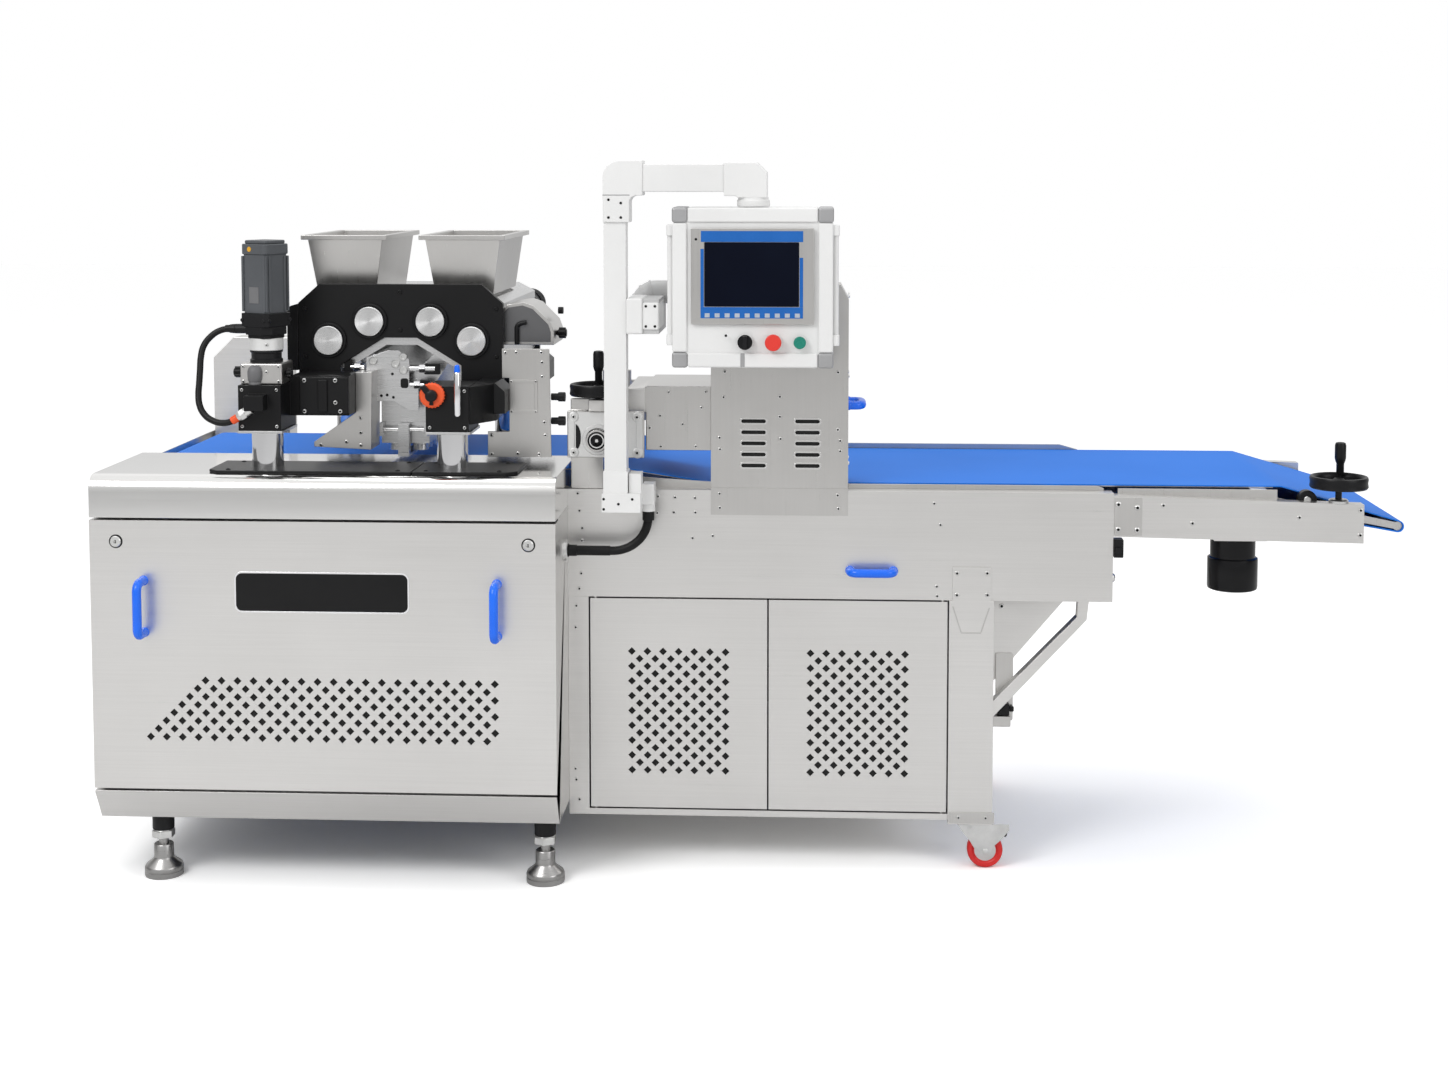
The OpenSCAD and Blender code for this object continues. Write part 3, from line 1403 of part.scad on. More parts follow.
module selector_knob() {
  color(BLACK) {
    control(button_x[0], button_d, run_gap, 8);
    block([button_x[0] - 5, panel_front - run_gap - 22, button_z - button_d / 2 + 2],
      [button_x[0] + 5, panel_front - run_gap - 7, button_z + button_d / 2 - 2]);
  }
}
module stop_button() { color(RED) control(button_x[1], button_d + 4, button_travel + 1, 14); }
module start_button() { color(GREEN) control(button_x[2], button_d - 6, button_travel + 1, 8); }

base_frame();
base_panels();
base_top_cover();
levelling_feet();
guide_posts();
rear_drive_box();
conveyor_frame();
slider_bed();
belt();
cabinet_frame();
electrical_tray();
right_legs();
tower_housing();
fixed_handles();
press_station();
panel_post();
stay_pipe();
hose();
nose_beams();
nose_motor();
drive_roller();
base_front_panel();
front_panel_handles();
left_panel_lock();
right_panel_lock();
lift_housings();
servo_motor();
bevel_gearbox();
motor_cable();
front_side_plate();
rear_side_plate();
hoppers();
roller_housing();
nozzle_die();
mechanism_plates();
feed_motor();
feed_roller_1();
feed_roller_2();
feed_roller_3();
feed_roller_4();
setting_knob();
wire_cut_frame();
left_door();
right_door();
nose_frame();
belt_nose();
nose_handwheel();
press_handwheel();
press_carriage();
press_roller();
panel_arm();
panel_enclosure();
panel_screen();
selector_knob();
stop_button();
start_button();
caster_fork_front();
caster_fork_rear();
caster_wheel_front();
caster_wheel_rear();
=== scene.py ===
"""Looks of the cookie depositor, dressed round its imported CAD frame.

Lengths are in millimetres until they reach a mesh.
"""

import json
import math

import bmesh
import bpy
from mathutils import Matrix, Vector


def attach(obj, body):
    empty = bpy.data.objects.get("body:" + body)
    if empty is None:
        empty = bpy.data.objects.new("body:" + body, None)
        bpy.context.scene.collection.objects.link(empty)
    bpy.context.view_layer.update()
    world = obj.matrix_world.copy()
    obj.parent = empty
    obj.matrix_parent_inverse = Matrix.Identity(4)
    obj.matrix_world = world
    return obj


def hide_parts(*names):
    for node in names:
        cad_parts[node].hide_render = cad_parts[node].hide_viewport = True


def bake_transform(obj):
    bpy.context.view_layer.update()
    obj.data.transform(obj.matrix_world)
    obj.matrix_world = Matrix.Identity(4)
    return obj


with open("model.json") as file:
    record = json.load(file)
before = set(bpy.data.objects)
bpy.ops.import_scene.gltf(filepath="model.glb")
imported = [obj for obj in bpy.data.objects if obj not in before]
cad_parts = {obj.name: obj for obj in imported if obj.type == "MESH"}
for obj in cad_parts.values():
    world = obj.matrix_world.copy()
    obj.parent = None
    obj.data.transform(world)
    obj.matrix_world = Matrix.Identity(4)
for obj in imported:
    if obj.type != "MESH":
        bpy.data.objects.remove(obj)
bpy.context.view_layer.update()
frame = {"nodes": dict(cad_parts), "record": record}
BODY_OF = {n: b for b, ns in frame["record"]["behaviour"]["bodies"].items() for n in ns}
MM = 0.001
X, Y, Z = Vector((1, 0, 0)), Vector((0, 1, 0)), Vector((0, 0, 1))
FRONT, BACK, RIGHT, LEFT = -Y, Y, X, -X


# Faces and axes that several pieces share, read from the frame

def edge_of(node, axis, side):
    """Lowest or highest place of a CAD node along an axis, in millimetres."""
    return round(side(corner[axis] for corner in frame["nodes"][node].bound_box) / MM, 1)


def middle_of(node, axis):
    return round((edge_of(node, axis, min) + edge_of(node, axis, max)) / 2)


BASE_FACE, BASE_BACK = edge_of("base_front_panel", 1, min), edge_of("base_panels", 1, max)
SHEET_FACE, SHEET_BACK = edge_of("conveyor_frame", 1, min), edge_of("conveyor_frame", 1, max)
TOWER_FOOT_FACE, TOWER_SIDE = edge_of("tower_housing", 1, min), edge_of("tower_housing", 0, max)
ARCH_FACE = edge_of("front_side_plate", 1, min)
END_PLATE_FACE = edge_of("mechanism_plates", 1, min)
LEG_FACE = edge_of("right_legs", 1, min)
CASE_FACE = edge_of("panel_enclosure", 1, min)
CAPS = {k: (middle_of("feed_roller_%d" % k, 0), middle_of("feed_roller_%d" % k, 2)) for k in range(1, 5)}
PRESS_X, PRESS_Z = middle_of("press_roller", 0), middle_of("press_roller", 2)
AXLE_X, AXLE_Z = middle_of("caster_wheel_front", 0), middle_of("caster_wheel_front", 2)
CASE_BACK = edge_of("panel_enclosure", 1, max)
HOSE_Y = middle_of("hose", 1)
POST_TOP = edge_of("guide_posts", 2, max)
BELT_FRONT, BELT_BACK = edge_of("belt", 1, min), edge_of("belt", 1, max)
RAMP_LEVEL = edge_of("belt", 2, max)

# Further places and the motor's angle

BELT_LEVEL = 974
SWIVEL_X = 541
LOCK_Z = 860
POSTS_X, POST_Y, REAR_POST_Y = (-1212, -748), -385, 480
POST_R, POST_FOOT, REAR_POST_FOOT = 39, 1030, 983
NOSE_WHEEL_X, NOSE_WHEEL_Y = 1446, -272
PANEL_X, PANEL_Y = -2, -410
PLUG_AT = (-1284, -400, 1372)
GLAND_AT = Vector((-1253, -475, 1165))
MOTOR_TURN = math.radians(-29)
BEARING_FACE = -300
CAM_FACE = -236


# Camera at the photograph's place

def stand_camera():
    data = bpy.data.cameras.new("camera")
    data.lens, data.sensor_width = 50, 36
    data.shift_y = -0.164
    data.clip_end = 60
    camera = bpy.data.objects.new("camera", data)
    yaw, pitch = math.radians(3), math.radians(4)
    camera.location = Vector((182, -5290, 1776)) * MM
    camera.rotation_euler = (math.pi / 2 - pitch, 0, yaw)
    bpy.context.scene.collection.objects.link(camera)
    bpy.context.scene.camera = camera


stand_camera()


# Node groups shared by the finishes

def group(name, inputs, outputs):
    tree = bpy.data.node_groups.new(name, "ShaderNodeTree")
    for label, kind, value in inputs:
        tree.interface.new_socket(label, in_out="INPUT", socket_type=kind).default_value = value
    for label in outputs:
        tree.interface.new_socket(label, in_out="OUTPUT", socket_type="NodeSocketFloat")
    return tree, tree.nodes.new("NodeGroupInput"), tree.nodes.new("NodeGroupOutput")


def add(tree, kind, **values):
    node = tree.nodes.new("ShaderNode" + kind)
    for key, value in values.items():
        if key in node.inputs:
            node.inputs[key].default_value = value
        else:
            setattr(node, key, value)
    return node


def surface_noise():
    """Two noises on the piece's own coordinates: one stretched into lines or grains, one broad."""
    tree, given, result = group("surface_noise", [("Stretch", "NodeSocketVector", (1, 1, 1)),
                                                  ("Broad", "NodeSocketFloat", 3.0)], ["Fine", "Cloud"])
    coords = add(tree, "TexCoord")
    stretch = add(tree, "VectorMath", operation="MULTIPLY")
    fine = add(tree, "TexNoise", Scale=1.0, Detail=5.0, Roughness=0.65)
    cloud = add(tree, "TexNoise", Detail=3.0, Roughness=0.5)
    tree.links.new(coords.outputs["Object"], stretch.inputs[0])
    tree.links.new(given.outputs["Stretch"], stretch.inputs[1])
    tree.links.new(stretch.outputs[0], fine.inputs["Vector"])
    tree.links.new(coords.outputs["Object"], cloud.inputs["Vector"])
    tree.links.new(given.outputs["Broad"], cloud.inputs["Scale"])
    tree.links.new(fine.outputs["Fac"], result.inputs["Fine"])
    tree.links.new(cloud.outputs["Fac"], result.inputs["Cloud"])
    return tree


def turning_marks():
    """Fine rings round an axis along Y through the given point, as a lathe tool leaves them."""
    tree, given, result = group("turning_marks", [("Centre", "NodeSocketVector", (0, 0, 0)),
                                                  ("Rings per metre", "NodeSocketFloat", 700.0)], ["Rings"])
    coords = add(tree, "TexCoord")
    away = add(tree, "VectorMath", operation="SUBTRACT")
    flat = add(tree, "VectorMath", operation="MULTIPLY")
    flat.inputs[1].default_value = (1, 0, 1)
    radius = add(tree, "VectorMath", operation="LENGTH")
    rings = add(tree, "TexNoise", noise_dimensions="1D", Detail=2.0, Roughness=0.6)
    tree.links.new(coords.outputs["Object"], away.inputs[0])
    tree.links.new(given.outputs["Centre"], away.inputs[1])
    tree.links.new(away.outputs[0], flat.inputs[0])
    tree.links.new(flat.outputs[0], radius.inputs[0])
    tree.links.new(radius.outputs["Value"], rings.inputs["W"])
    tree.links.new(given.outputs["Rings per metre"], rings.inputs["Scale"])
    tree.links.new(rings.outputs["Fac"], result.inputs["Rings"])
    return tree


NOISE = surface_noise()
RINGS = turning_marks()
FINISH = {}


def finish(name, slot, dark, light, rough, stretch, broad=3.0, bump=0.0, bump_mm=0.1, streak=0.25,
           rings=None, **sockets):
    """A material whose colour drifts between two tones.

    Its gloss and relief follow the fine noise, or the rings round a centre where one is given.
    """
    made = bpy.data.materials.new(name)
    made.use_nodes = True
    tree = made.node_tree
    shader = tree.nodes["Principled BSDF"]
    for key, value in sockets.items():
        shader.inputs[key].default_value = value
    noise = add(tree, "Group", node_tree=NOISE)
    noise.inputs["Stretch"].default_value = stretch
    noise.inputs["Broad"].default_value = broad
    fine = noise.outputs["Fine"]
    if rings:
        marks = add(tree, "Group", node_tree=RINGS)
        marks.inputs["Centre"].default_value = rings
        fine = marks.outputs["Rings"]
        around = add(tree, "Tangent", direction_type="RADIAL", axis="Y")
        tree.links.new(around.outputs[0], shader.inputs["Tangent"])
    drift = add(tree, "Mix", data_type="FLOAT")
    drift.inputs[0].default_value = streak
    tone = add(tree, "MapRange")
    tone.inputs["From Min"].default_value, tone.inputs["From Max"].default_value = 0.3, 0.7
    blend = add(tree, "Mix", data_type="RGBA")
    blend.inputs[6].default_value = (*dark, 1)
    blend.inputs[7].default_value = (*light, 1)
    gloss = add(tree, "MapRange")
    gloss.inputs["From Min"].default_value, gloss.inputs["From Max"].default_value = 0.25, 0.75
    gloss.inputs["To Min"].default_value, gloss.inputs["To Max"].default_value = rough
    tree.links.new(noise.outputs["Cloud"], drift.inputs[2])
    tree.links.new(fine, drift.inputs[3])
    tree.links.new(drift.outputs[0], tone.inputs["Value"])
    tree.links.new(tone.outputs[0], blend.inputs[0])
    tree.links.new(blend.outputs[2], shader.inputs["Base Color"])
    tree.links.new(fine, gloss.inputs["Value"])
    tree.links.new(gloss.outputs[0], shader.inputs["Roughness"])
    if bump:
        relief = add(tree, "Bump", Strength=bump, Distance=bump_mm * MM)
        tree.links.new(fine, relief.inputs["Height"])
        tree.links.new(relief.outputs[0], shader.inputs["Normal"])
    FINISH[name] = made


def make_finishes():
    lines, upright, grain = (3, 260, 260), (240, 240, 3), (900, 900, 900)
    dull = {"Specular IOR Level": 0.22}
    finish("brushed_sheet", "steel", (0.69, 0.68, 0.665), (0.79, 0.78, 0.765), (0.27, 0.42), lines, 1.6,
           0.12, 0.05, 0.4, Metallic=1.0)
    finish("polished_sheet", "steel", (0.76, 0.755, 0.74), (0.85, 0.845, 0.835), (0.09, 0.18), lines, 1.2,
           0.08, 0.03, 0.4, Metallic=1.0)
    finish("satin_plate", "steel", (0.56, 0.55, 0.535), (0.64, 0.63, 0.615), (0.26, 0.36), upright, 3.5,
           0.05, 0.03, 0.2, Metallic=1.0)
    finish("bare_tube", "frame_paint", (0.30, 0.30, 0.30), (0.38, 0.38, 0.38), (0.45, 0.6), grain, 4, 0.1,
           Metallic=0.6)
    finish("chrome", "bright", (0.80, 0.80, 0.81), (0.86, 0.86, 0.87), (0.05, 0.11), (40, 40, 300), 6,
           Metallic=1.0)
    finish("zinc", "bright", (0.64, 0.64, 0.63), (0.76, 0.76, 0.75), (0.26, 0.4), (160, 160, 160), 30, 0.1,
           Metallic=1.0)
    finish("grey_steel", "bright", (0.34, 0.335, 0.33), (0.46, 0.455, 0.45), (0.24, 0.38), lines, 12, 0.15,
           0.05, 0.4, Metallic=1.0)
    finish("machined", "alu", (0.60, 0.60, 0.60), (0.70, 0.70, 0.705), (0.22, 0.36), (6, 420, 420), 5, 0.1,
           0.03, 0.4, Metallic=1.0)
    finish("black_plate", "black_anodised", (0.005, 0.005, 0.0055), (0.009, 0.009, 0.0095), (0.3, 0.42),
           grain, 5, 0.08, 0.04, **dull)
    finish("black_cast", "motor_black", (0.007, 0.007, 0.008), (0.012, 0.012, 0.013), (0.34, 0.5),
           (700, 700, 700), 12, 0.2, 0.08, **dull)
    finish("motor_gloss", "motor_black", (0.003, 0.003, 0.0035), (0.006, 0.006, 0.007), (0.14, 0.24), grain,
           10, 0.1, 0.04, **dull)
    finish("smoked_plate", "steel", (0.13, 0.13, 0.135), (0.19, 0.19, 0.195), (0.22, 0.34), grain, 6, 0.08,
           0.04, Metallic=0.7)
    finish("pale_cast", "alu", (0.66, 0.66, 0.65), (0.76, 0.76, 0.755), (0.34, 0.5), (420, 420, 420), 9,
           0.25, 0.1, Metallic=0.35)
    finish("servo_grey", "motor_black", (0.078, 0.083, 0.090), (0.102, 0.108, 0.117), (0.34, 0.46), grain,
           8, 0.15, 0.05, **dull)
    finish("white_coat", "white_paint", (0.72, 0.72, 0.715), (0.78, 0.78, 0.775), (0.3, 0.42),
           (500, 500, 500), 4, 0.12, 0.05)
    finish("grey_caps", "white_paint", (0.33, 0.33, 0.335), (0.42, 0.42, 0.425), (0.36, 0.48), grain, 8,
           0.15, 0.05, Metallic=0.4)
    finish("pipe_grey", "white_paint", (0.46, 0.46, 0.46), (0.54, 0.54, 0.54), (0.32, 0.45),
           (300, 300, 300), 9, 0.1, 0.05)
    finish("belt_film", "belt_blue", (0.018, 0.175, 0.68), (0.028, 0.210, 0.78), (0.5, 0.62),
           (500, 500, 500), 1.6, 0.08, 0.03, **{"Specular IOR Level": 0.12})
    finish("blue_moulding", "handle_blue", (0.002, 0.125, 0.80), (0.003, 0.155, 0.92), (0.2, 0.3), grain, 8,
           0.06, 0.03)
    finish("black_moulding", "black_plastic", (0.005, 0.005, 0.0055), (0.010, 0.010, 0.011), (0.28, 0.42),
           grain, 10, 0.15, 0.05, **dull)
    # Flat black that paints shade: in screw sockets, slots and holes, and behind vent holes.
    finish("painted_shade_black", "black_plastic", (0.003, 0.003, 0.003), (0.007, 0.007, 0.007), (0.8, 0.95),
           (450, 450, 450), 20, 0.8, 0.6)
    finish("grey_rubber", "grey_plastic", (0.10, 0.10, 0.105), (0.15, 0.15, 0.155), (0.45, 0.6), grain, 10,
           0.2, 0.06)
    finish("cord_jacket", "cord_black", (0.005, 0.005, 0.005), (0.010, 0.010, 0.010), (0.36, 0.5),
           (400, 400, 400), 14, 0.15, 0.05, **dull)
    finish("orange_moulding", "orange", (0.74, 0.075, 0.012), (0.84, 0.105, 0.02), (0.32, 0.44), grain, 12,
           0.1, 0.04)
    finish("red_moulding", "red", (0.66, 0.028, 0.018), (0.74, 0.04, 0.026), (0.24, 0.36), grain, 14, 0.08,
           0.03)
    finish("green_moulding", "green", (0.004, 0.19, 0.135), (0.008, 0.24, 0.17), (0.22, 0.34), grain, 14,
           0.08, 0.03)
    finish("red_tyre", "tyre_red", (0.55, 0.010, 0.010), (0.68, 0.020, 0.018), (0.3, 0.45), grain, 14, 0.15,
           0.05)
    finish("screen_blue", "screen", (0.012, 0.11, 0.40), (0.02, 0.14, 0.48), (0.22, 0.3), grain, 10, **dull)
    finish("screen_dark", "screen", (0.001, 0.002, 0.008), (0.002, 0.004, 0.012), (0.10, 0.16), grain, 6,
           **{"Specular IOR Level": 0.1})
    finish("yellow_mark", "orange", (0.60, 0.30, 0.01), (0.70, 0.36, 0.02), (0.3, 0.4), grain, 20)
    finish("key_grey", "screen", (0.36, 0.40, 0.46), (0.44, 0.48, 0.54), (0.35, 0.45), grain, 20)
    for k, (x, z) in CAPS.items():
        finish("spun_cap_%d" % k, "alu", (0.70, 0.70, 0.70), (0.82, 0.82, 0.82), (0.22, 0.32), grain, 20,
               0.15, 0.05, 0.5, rings=(x * MM, 0, z * MM), Metallic=1.0, Anisotropic=0.85)


make_finishes()


# Mesh helpers: a shape starts from a few vertices or a bmesh shape, and operators do the rest

def vec(p):
    return Vector(p) * MM


def turned_to(axis):
    """Rotation that takes +Z to the axis."""
    return Z.rotation_difference(Vector(axis).normalized()).to_matrix().to_4x4()


def piece(name, bm, body, coat, stands_for=(), edge=0.0, steps=2, smooth=32):
    """Puts the bmesh into the scene as one finished piece on its body."""
    bmesh.ops.recalc_face_normals(bm, faces=bm.faces)
    mesh = bpy.data.meshes.new(name)
    bm.to_mesh(mesh)
    bm.free()
    mesh.shade_smooth()
    mesh.set_sharp_from_angle(angle=math.radians(smooth))
    made = bpy.data.objects.new(name, mesh)
    mesh.materials.append(FINISH[coat])
    bpy.context.scene.collection.objects.link(made)
    if edge:
        soften = made.modifiers.new("edge", "BEVEL")
        soften.width, soften.segments = edge * MM, steps
        soften.limit_method, soften.angle_limit = "ANGLE", math.radians(smooth)
        soften.harden_normals = True
    if body:
        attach(made, body)
    if stands_for:
        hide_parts(*stands_for)
    return made


def dress(node, coat, edge=1.0):
    """A merged copy of a CAD node with softened edges, standing for that node."""
    bm = bmesh.new()
    bm.from_mesh(frame["nodes"][node].data)
    bmesh.ops.remove_doubles(bm, verts=bm.verts, dist=0.00001)
    bmesh.ops.dissolve_limit(bm, angle_limit=math.radians(1), verts=bm.verts, edges=bm.edges)
    piece(node + "_skin", bm, BODY_OF[node], coat, (node,), edge)


def coat_node(node, coat):
    """Gives a CAD node that stays as it is its finish."""
    mesh = frame["nodes"][node].data
    mesh.materials.clear()
    mesh.materials.append(FINISH[coat])


def box(bm, lo, hi):
    lo, hi = vec(lo), vec(hi)
    place = Matrix.Translation((lo + hi) / 2) @ Matrix.Diagonal((*(hi - lo), 1))
    bmesh.ops.create_cube(bm, size=1, matrix=place)


def bar(bm, start, end, r, sides=24):
    start, end = vec(start), vec(end)
    run = end - start
    place = Matrix.Translation((start + end) / 2) @ turned_to(run)
    bmesh.ops.create_cone(bm, cap_ends=True, segments=sides, radius1=r * MM, radius2=r * MM,
                          depth=run.length, matrix=place)


def spot(along, p, d):
    """Point at distance d along X, Y or Z, with p in the two other axes."""
    return vec({"X": (d, p[0], p[1]), "Y": (p[0], d, p[1]), "Z": (p[0], p[1], d)}[along])


def shift_grown(bm, grown, shift):
    """Moves the vertices that an extrusion made."""
    bmesh.ops.translate(bm, verts=[v for v in grown if isinstance(v, bmesh.types.BMVert)], vec=shift)


def thicken(bm, faces, shift):
    shift_grown(bm, bmesh.ops.extrude_face_region(bm, geom=faces, use_keep_orig=True)["geom"], shift)


def prism(bm, outline, along, start, end):
    """Closed outline in the two other axes, drawn from start to end along X, Y or Z."""
    face = bm.faces.new([bm.verts.new(spot(along, p, start)) for p in outline])
    thicken(bm, [face], spot(along, outline[0], end) - spot(along, outline[0], start))


def ring_plate(bm, outer, inner, along, start, end):
    """Plate between two outlines of the same number of points."""
    edges = []
    for outline in (outer, inner):
        verts = [bm.verts.new(spot(along, p, start)) for p in outline]
        edges += [bm.edges.new(pair) for pair in zip(verts, verts[1:] + verts[:1])]
    faces = bmesh.ops.bridge_loops(bm, edges=edges)["faces"]
    thicken(bm, faces, spot(along, outer[0], end) - spot(along, outer[0], start))


def lathe(bm, profile, at, axis, steps=32):
    """Spins (radius, height) points about an axis through a point."""
    place = Matrix.Translation(vec(at)) @ turned_to(axis)
    verts = [bm.verts.new(place @ vec((r, 0, h))) for r, h in profile]
    edges = [bm.edges.new(pair) for pair in zip(verts, verts[1:])]
    bmesh.ops.spin(bm, geom=verts + edges, cent=vec(at), axis=Vector(axis).normalized(), angle=2 * math.pi,
                   steps=steps, use_merge=True)
    bmesh.ops.remove_doubles(bm, verts=bm.verts, dist=0.000012)


def rounded(lo, hi, r, n=5):
    """Corner points of a rounded rectangle."""
    points = []
    for cx, cy, turn in ((hi[0] - r, hi[1] - r, 0), (lo[0] + r, hi[1] - r, 90), (lo[0] + r, lo[1] + r, 180),
                         (hi[0] - r, lo[1] + r, 270)):
        for k in range(n + 1):
            a = math.radians(turn + 90 * k / n)
            points.append((cx + r * math.cos(a), cy + r * math.sin(a)))
    return points


def round_hole(centre, r, n=24):
    return [(centre[0] + r * math.cos(2 * math.pi * k / n), centre[1] + r * math.sin(2 * math.pi * k / n))
            for k in range(n)]


def bent_path(points, r, n=8):
    """Points of a path whose corners are rounded to a radius."""
    points = [Vector(p) for p in points]
    path = [points[0]]
    for before, corner, after in zip(points, points[1:], points[2:]):
        u, v = (before - corner).normalized(), (after - corner).normalized()
        half = u.angle(v) / 2
        reach = r / math.tan(half)
        middle = corner + (u + v).normalized() * (r / math.sin(half))
        first, last = corner + u * reach - middle, corner + v * reach - middle
        path += [middle + first.slerp(last, k / n) * r for k in range(n + 1)]
    return path + [points[-1]]


def tube(bm, path, r, sides=16):
    """Round tube along a path, closed at both ends."""
    path = [vec(p) for p in path]
    radius = r * MM
    rings = []
    normal = None
    for i, p in enumerate(path):
        run = (path[min(i + 1, len(path) - 1)] - path[max(i - 1, 0)]).normalized()
        if normal is None:
            normal = run.orthogonal().normalized()
        normal = (normal - run * normal.dot(run)).normalized()
        side = run.cross(normal)
        ring = [bm.verts.new(p + (normal * math.cos(a) + side * math.sin(a)) * radius)
                for a in (2 * math.pi * k / sides for k in range(sides))]
        rings.append([bm.edges.new(pair) for pair in zip(ring, ring[1:] + ring[:1])])
    for one, two in zip(rings, rings[1:]):
        bmesh.ops.bridge_loops(bm, edges=one + two)
    for ring in (rings[0], rings[-1]):
        bmesh.ops.edgeloop_fill(bm, edges=ring)


def blocks(name, body, coat, corners, edge=1.5, stands_for=(), steps=2):
    """Blocks of one piece, each given by two opposite corners, with softened edges."""
    bm = bmesh.new()
    for lo, hi in corners:
        box(bm, lo, hi)
    piece(name, bm, body, coat, stands_for, edge, steps)


def slab(name, body, coat, outline, along, start, end, edge):
    """One plate cut to an outline."""
    bm = bmesh.new()
    prism(bm, outline, along, start, end)
    piece(name, bm, body, coat, edge=edge)


def turned(name, body, coat, places, axis, profile, stands_for=(), steps=32):
    """The same turned form at each place."""
    bm = bmesh.new()
    for at in places:
        lathe(bm, profile, at, axis, steps)
    piece(name, bm, body, coat, stands_for, smooth=35)


def screws(name, body, places, axis, r=5.5, h=3.0, coat="zinc"):
    """Button heads along one axis; a black lining in each socket paints the shade inside it."""
    bm = bmesh.new()
    for at in places:
        lathe(bm, [(r * 0.5, h), (r * 0.8, h * 0.85), (r, 0.05), (r, -0.6)], at, axis, 12)
    heads = set(bm.faces)
    # Black lining of each socket: painted shade of the recess.
    for at in places:
        lathe(bm, [(0.01, h * 0.5), (r * 0.51, h * 0.5), (r * 0.52, h * 1.01)], at, axis, 12)
    for face in bm.faces:
        face.material_index = 0 if face in heads else 1
    made = piece(name, bm, body, coat, smooth=50)
    made.data.materials.append(FINISH["painted_shade_black"])


def on_front(y, *places):
    return [(x, y, z) for x, z in places]


def bow_handle(bm, at, along, out, length, reach, r):
    """Bent bar on two round feet."""
    at, along, out = Vector(at), Vector(along), Vector(out)
    half, far = length / 2 - r, reach - r
    ends = [at + along * s * half for s in (-1, 1)]
    tube(bm, bent_path([ends[0], ends[0] + out * far, ends[1] + out * far, ends[1]], r * 1.8), r, 20)
    for end in ends:
        lathe(bm, [(0.01, 0.2), (r * 1.12, 0.2), (r * 1.12, r * 0.3), (r * 1.01, r * 0.5)], end, out, 20)


def hand_wheel(name, body, at, stem, grip_at, stands_for):
    """Handwheel with a deep rim, a dished web and a revolving grip."""
    bm = bmesh.new()
    at = Vector(at)
    lathe(bm, [(57, -11), (63, -16), (68, -16), (71, -12), (69.5, -2), (71, 8), (69, 13), (64, 14),
               (59, 10), (57, 3), (57, -11)], at, Z, 56)
    lathe(bm, [(0.01, 8), (11, 8), (15, 4), (18, -3), (57.5, -4), (57.5, -8), (20, -9), (21, -18),
               (17, -23), (8, -24), (8, -stem), (0.01, -stem)], at, Z, 40)
    lathe(bm, [(5, -4), (5, 11.5), (9, 12), (9.5, 14), (9.5, 38), (12, 44), (13.8, 52), (13.8, 84),
               (12, 90), (8, 91.5), (0.01, 91.5)], at + Vector(grip_at), Z, 28)
    piece(name, bm, body, "black_moulding", stands_for, smooth=40)


def star_knob(bm, at, axis, r, h):
    """Lobed clamping knob on a short stud."""
    at, axis = Vector(at), Vector(axis)
    lathe(bm, [(0.01, h), (r * 0.6, h), (r * 0.75, h * 0.85), (r * 0.75, h * 0.3), (r * 0.35, 0),
               (0.01, 0)], at, axis, 20)
    u = axis.orthogonal().normalized()
    for k in range(6):
        lobe = at + Matrix.Rotation(math.pi / 3 * k, 3, axis) @ u * r * 0.72
        bar(bm, lobe + axis * h * 0.25, lobe + axis * h * 0.9, r * 0.27, sides=10)


# Free cords along the routes that the part's source gives them

def run_cord(name, node, points, d):
    data = bpy.data.curves.new(name, "CURVE")
    data.dimensions = "3D"
    data.bevel_depth, data.bevel_resolution, data.resolution_u = d / 2 * MM, 5, 6
    data.use_fill_caps = True
    spline = data.splines.new("BEZIER")
    spline.bezier_points.add(len(points) - 1)
    for knot, p in zip(spline.bezier_points, points):
        knot.co = vec(p)
        knot.handle_left_type = knot.handle_right_type = "AUTO"
    data.materials.append(FINISH["cord_jacket"])
    made = bpy.data.objects.new(name, data)
    bpy.context.scene.collection.objects.link(made)
    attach(made, BODY_OF[node])
    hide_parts(node)


def lay_cords():
    hose = [(-264, 920), (-264, 907), (-265, 895), (-268, 881), (-274, 866), (-283, 852), (-294, 841),
            (-308, 831), (-324, 824), (-340, 820), (-358, 819), (-380, 819), (-405, 819), (-430, 819),
            (-450, 819), (-465, 819)]
    run_cord("panel_hose", "hose", [(x, HOSE_Y, z) for x, z in hose], 22)
    servo = [PLUG_AT, (-1296, -400, 1372), (-1323, -404, 1367), (-1345, -409, 1352),
             (-1361, -415, 1329), (-1366, -422, 1302), (-1366, -430, 1272), (-1366, -438, 1242),
             (-1366, -446, 1212), (-1361, -454, 1187), (-1347, -461, 1165), (-1325, -467, 1151),
             (-1300, -472, 1146), (-1275, -475, 1151), (-1253, -475, 1165)]
    run_cord("servo_cable", "motor_cable", servo, 16)
    turned("hose_boot_top", "frame", "cord_jacket", [(-264, HOSE_Y, 920)], -Z,
           [(11.2, 24), (14.6, 23), (15, 21), (15, 2), (14, 0), (11, 0)])
    turned("hose_boot_side", "frame", "cord_jacket", [(-465, HOSE_Y, 819)], X,
           [(11.2, 106), (12.3, 105), (12.3, 23), (13.8, 22), (14.4, 2), (16.5, 2), (16.5, 0), (11, 0)])
    turned("servo_boot", "head", "cord_jacket", [PLUG_AT], LEFT,
           [(8.2, 26), (9, 25), (9.6, 14), (10.6, 14), (11.6, 4), (11.6, 0), (8, 0)])


lay_cords()


# Base cabinet

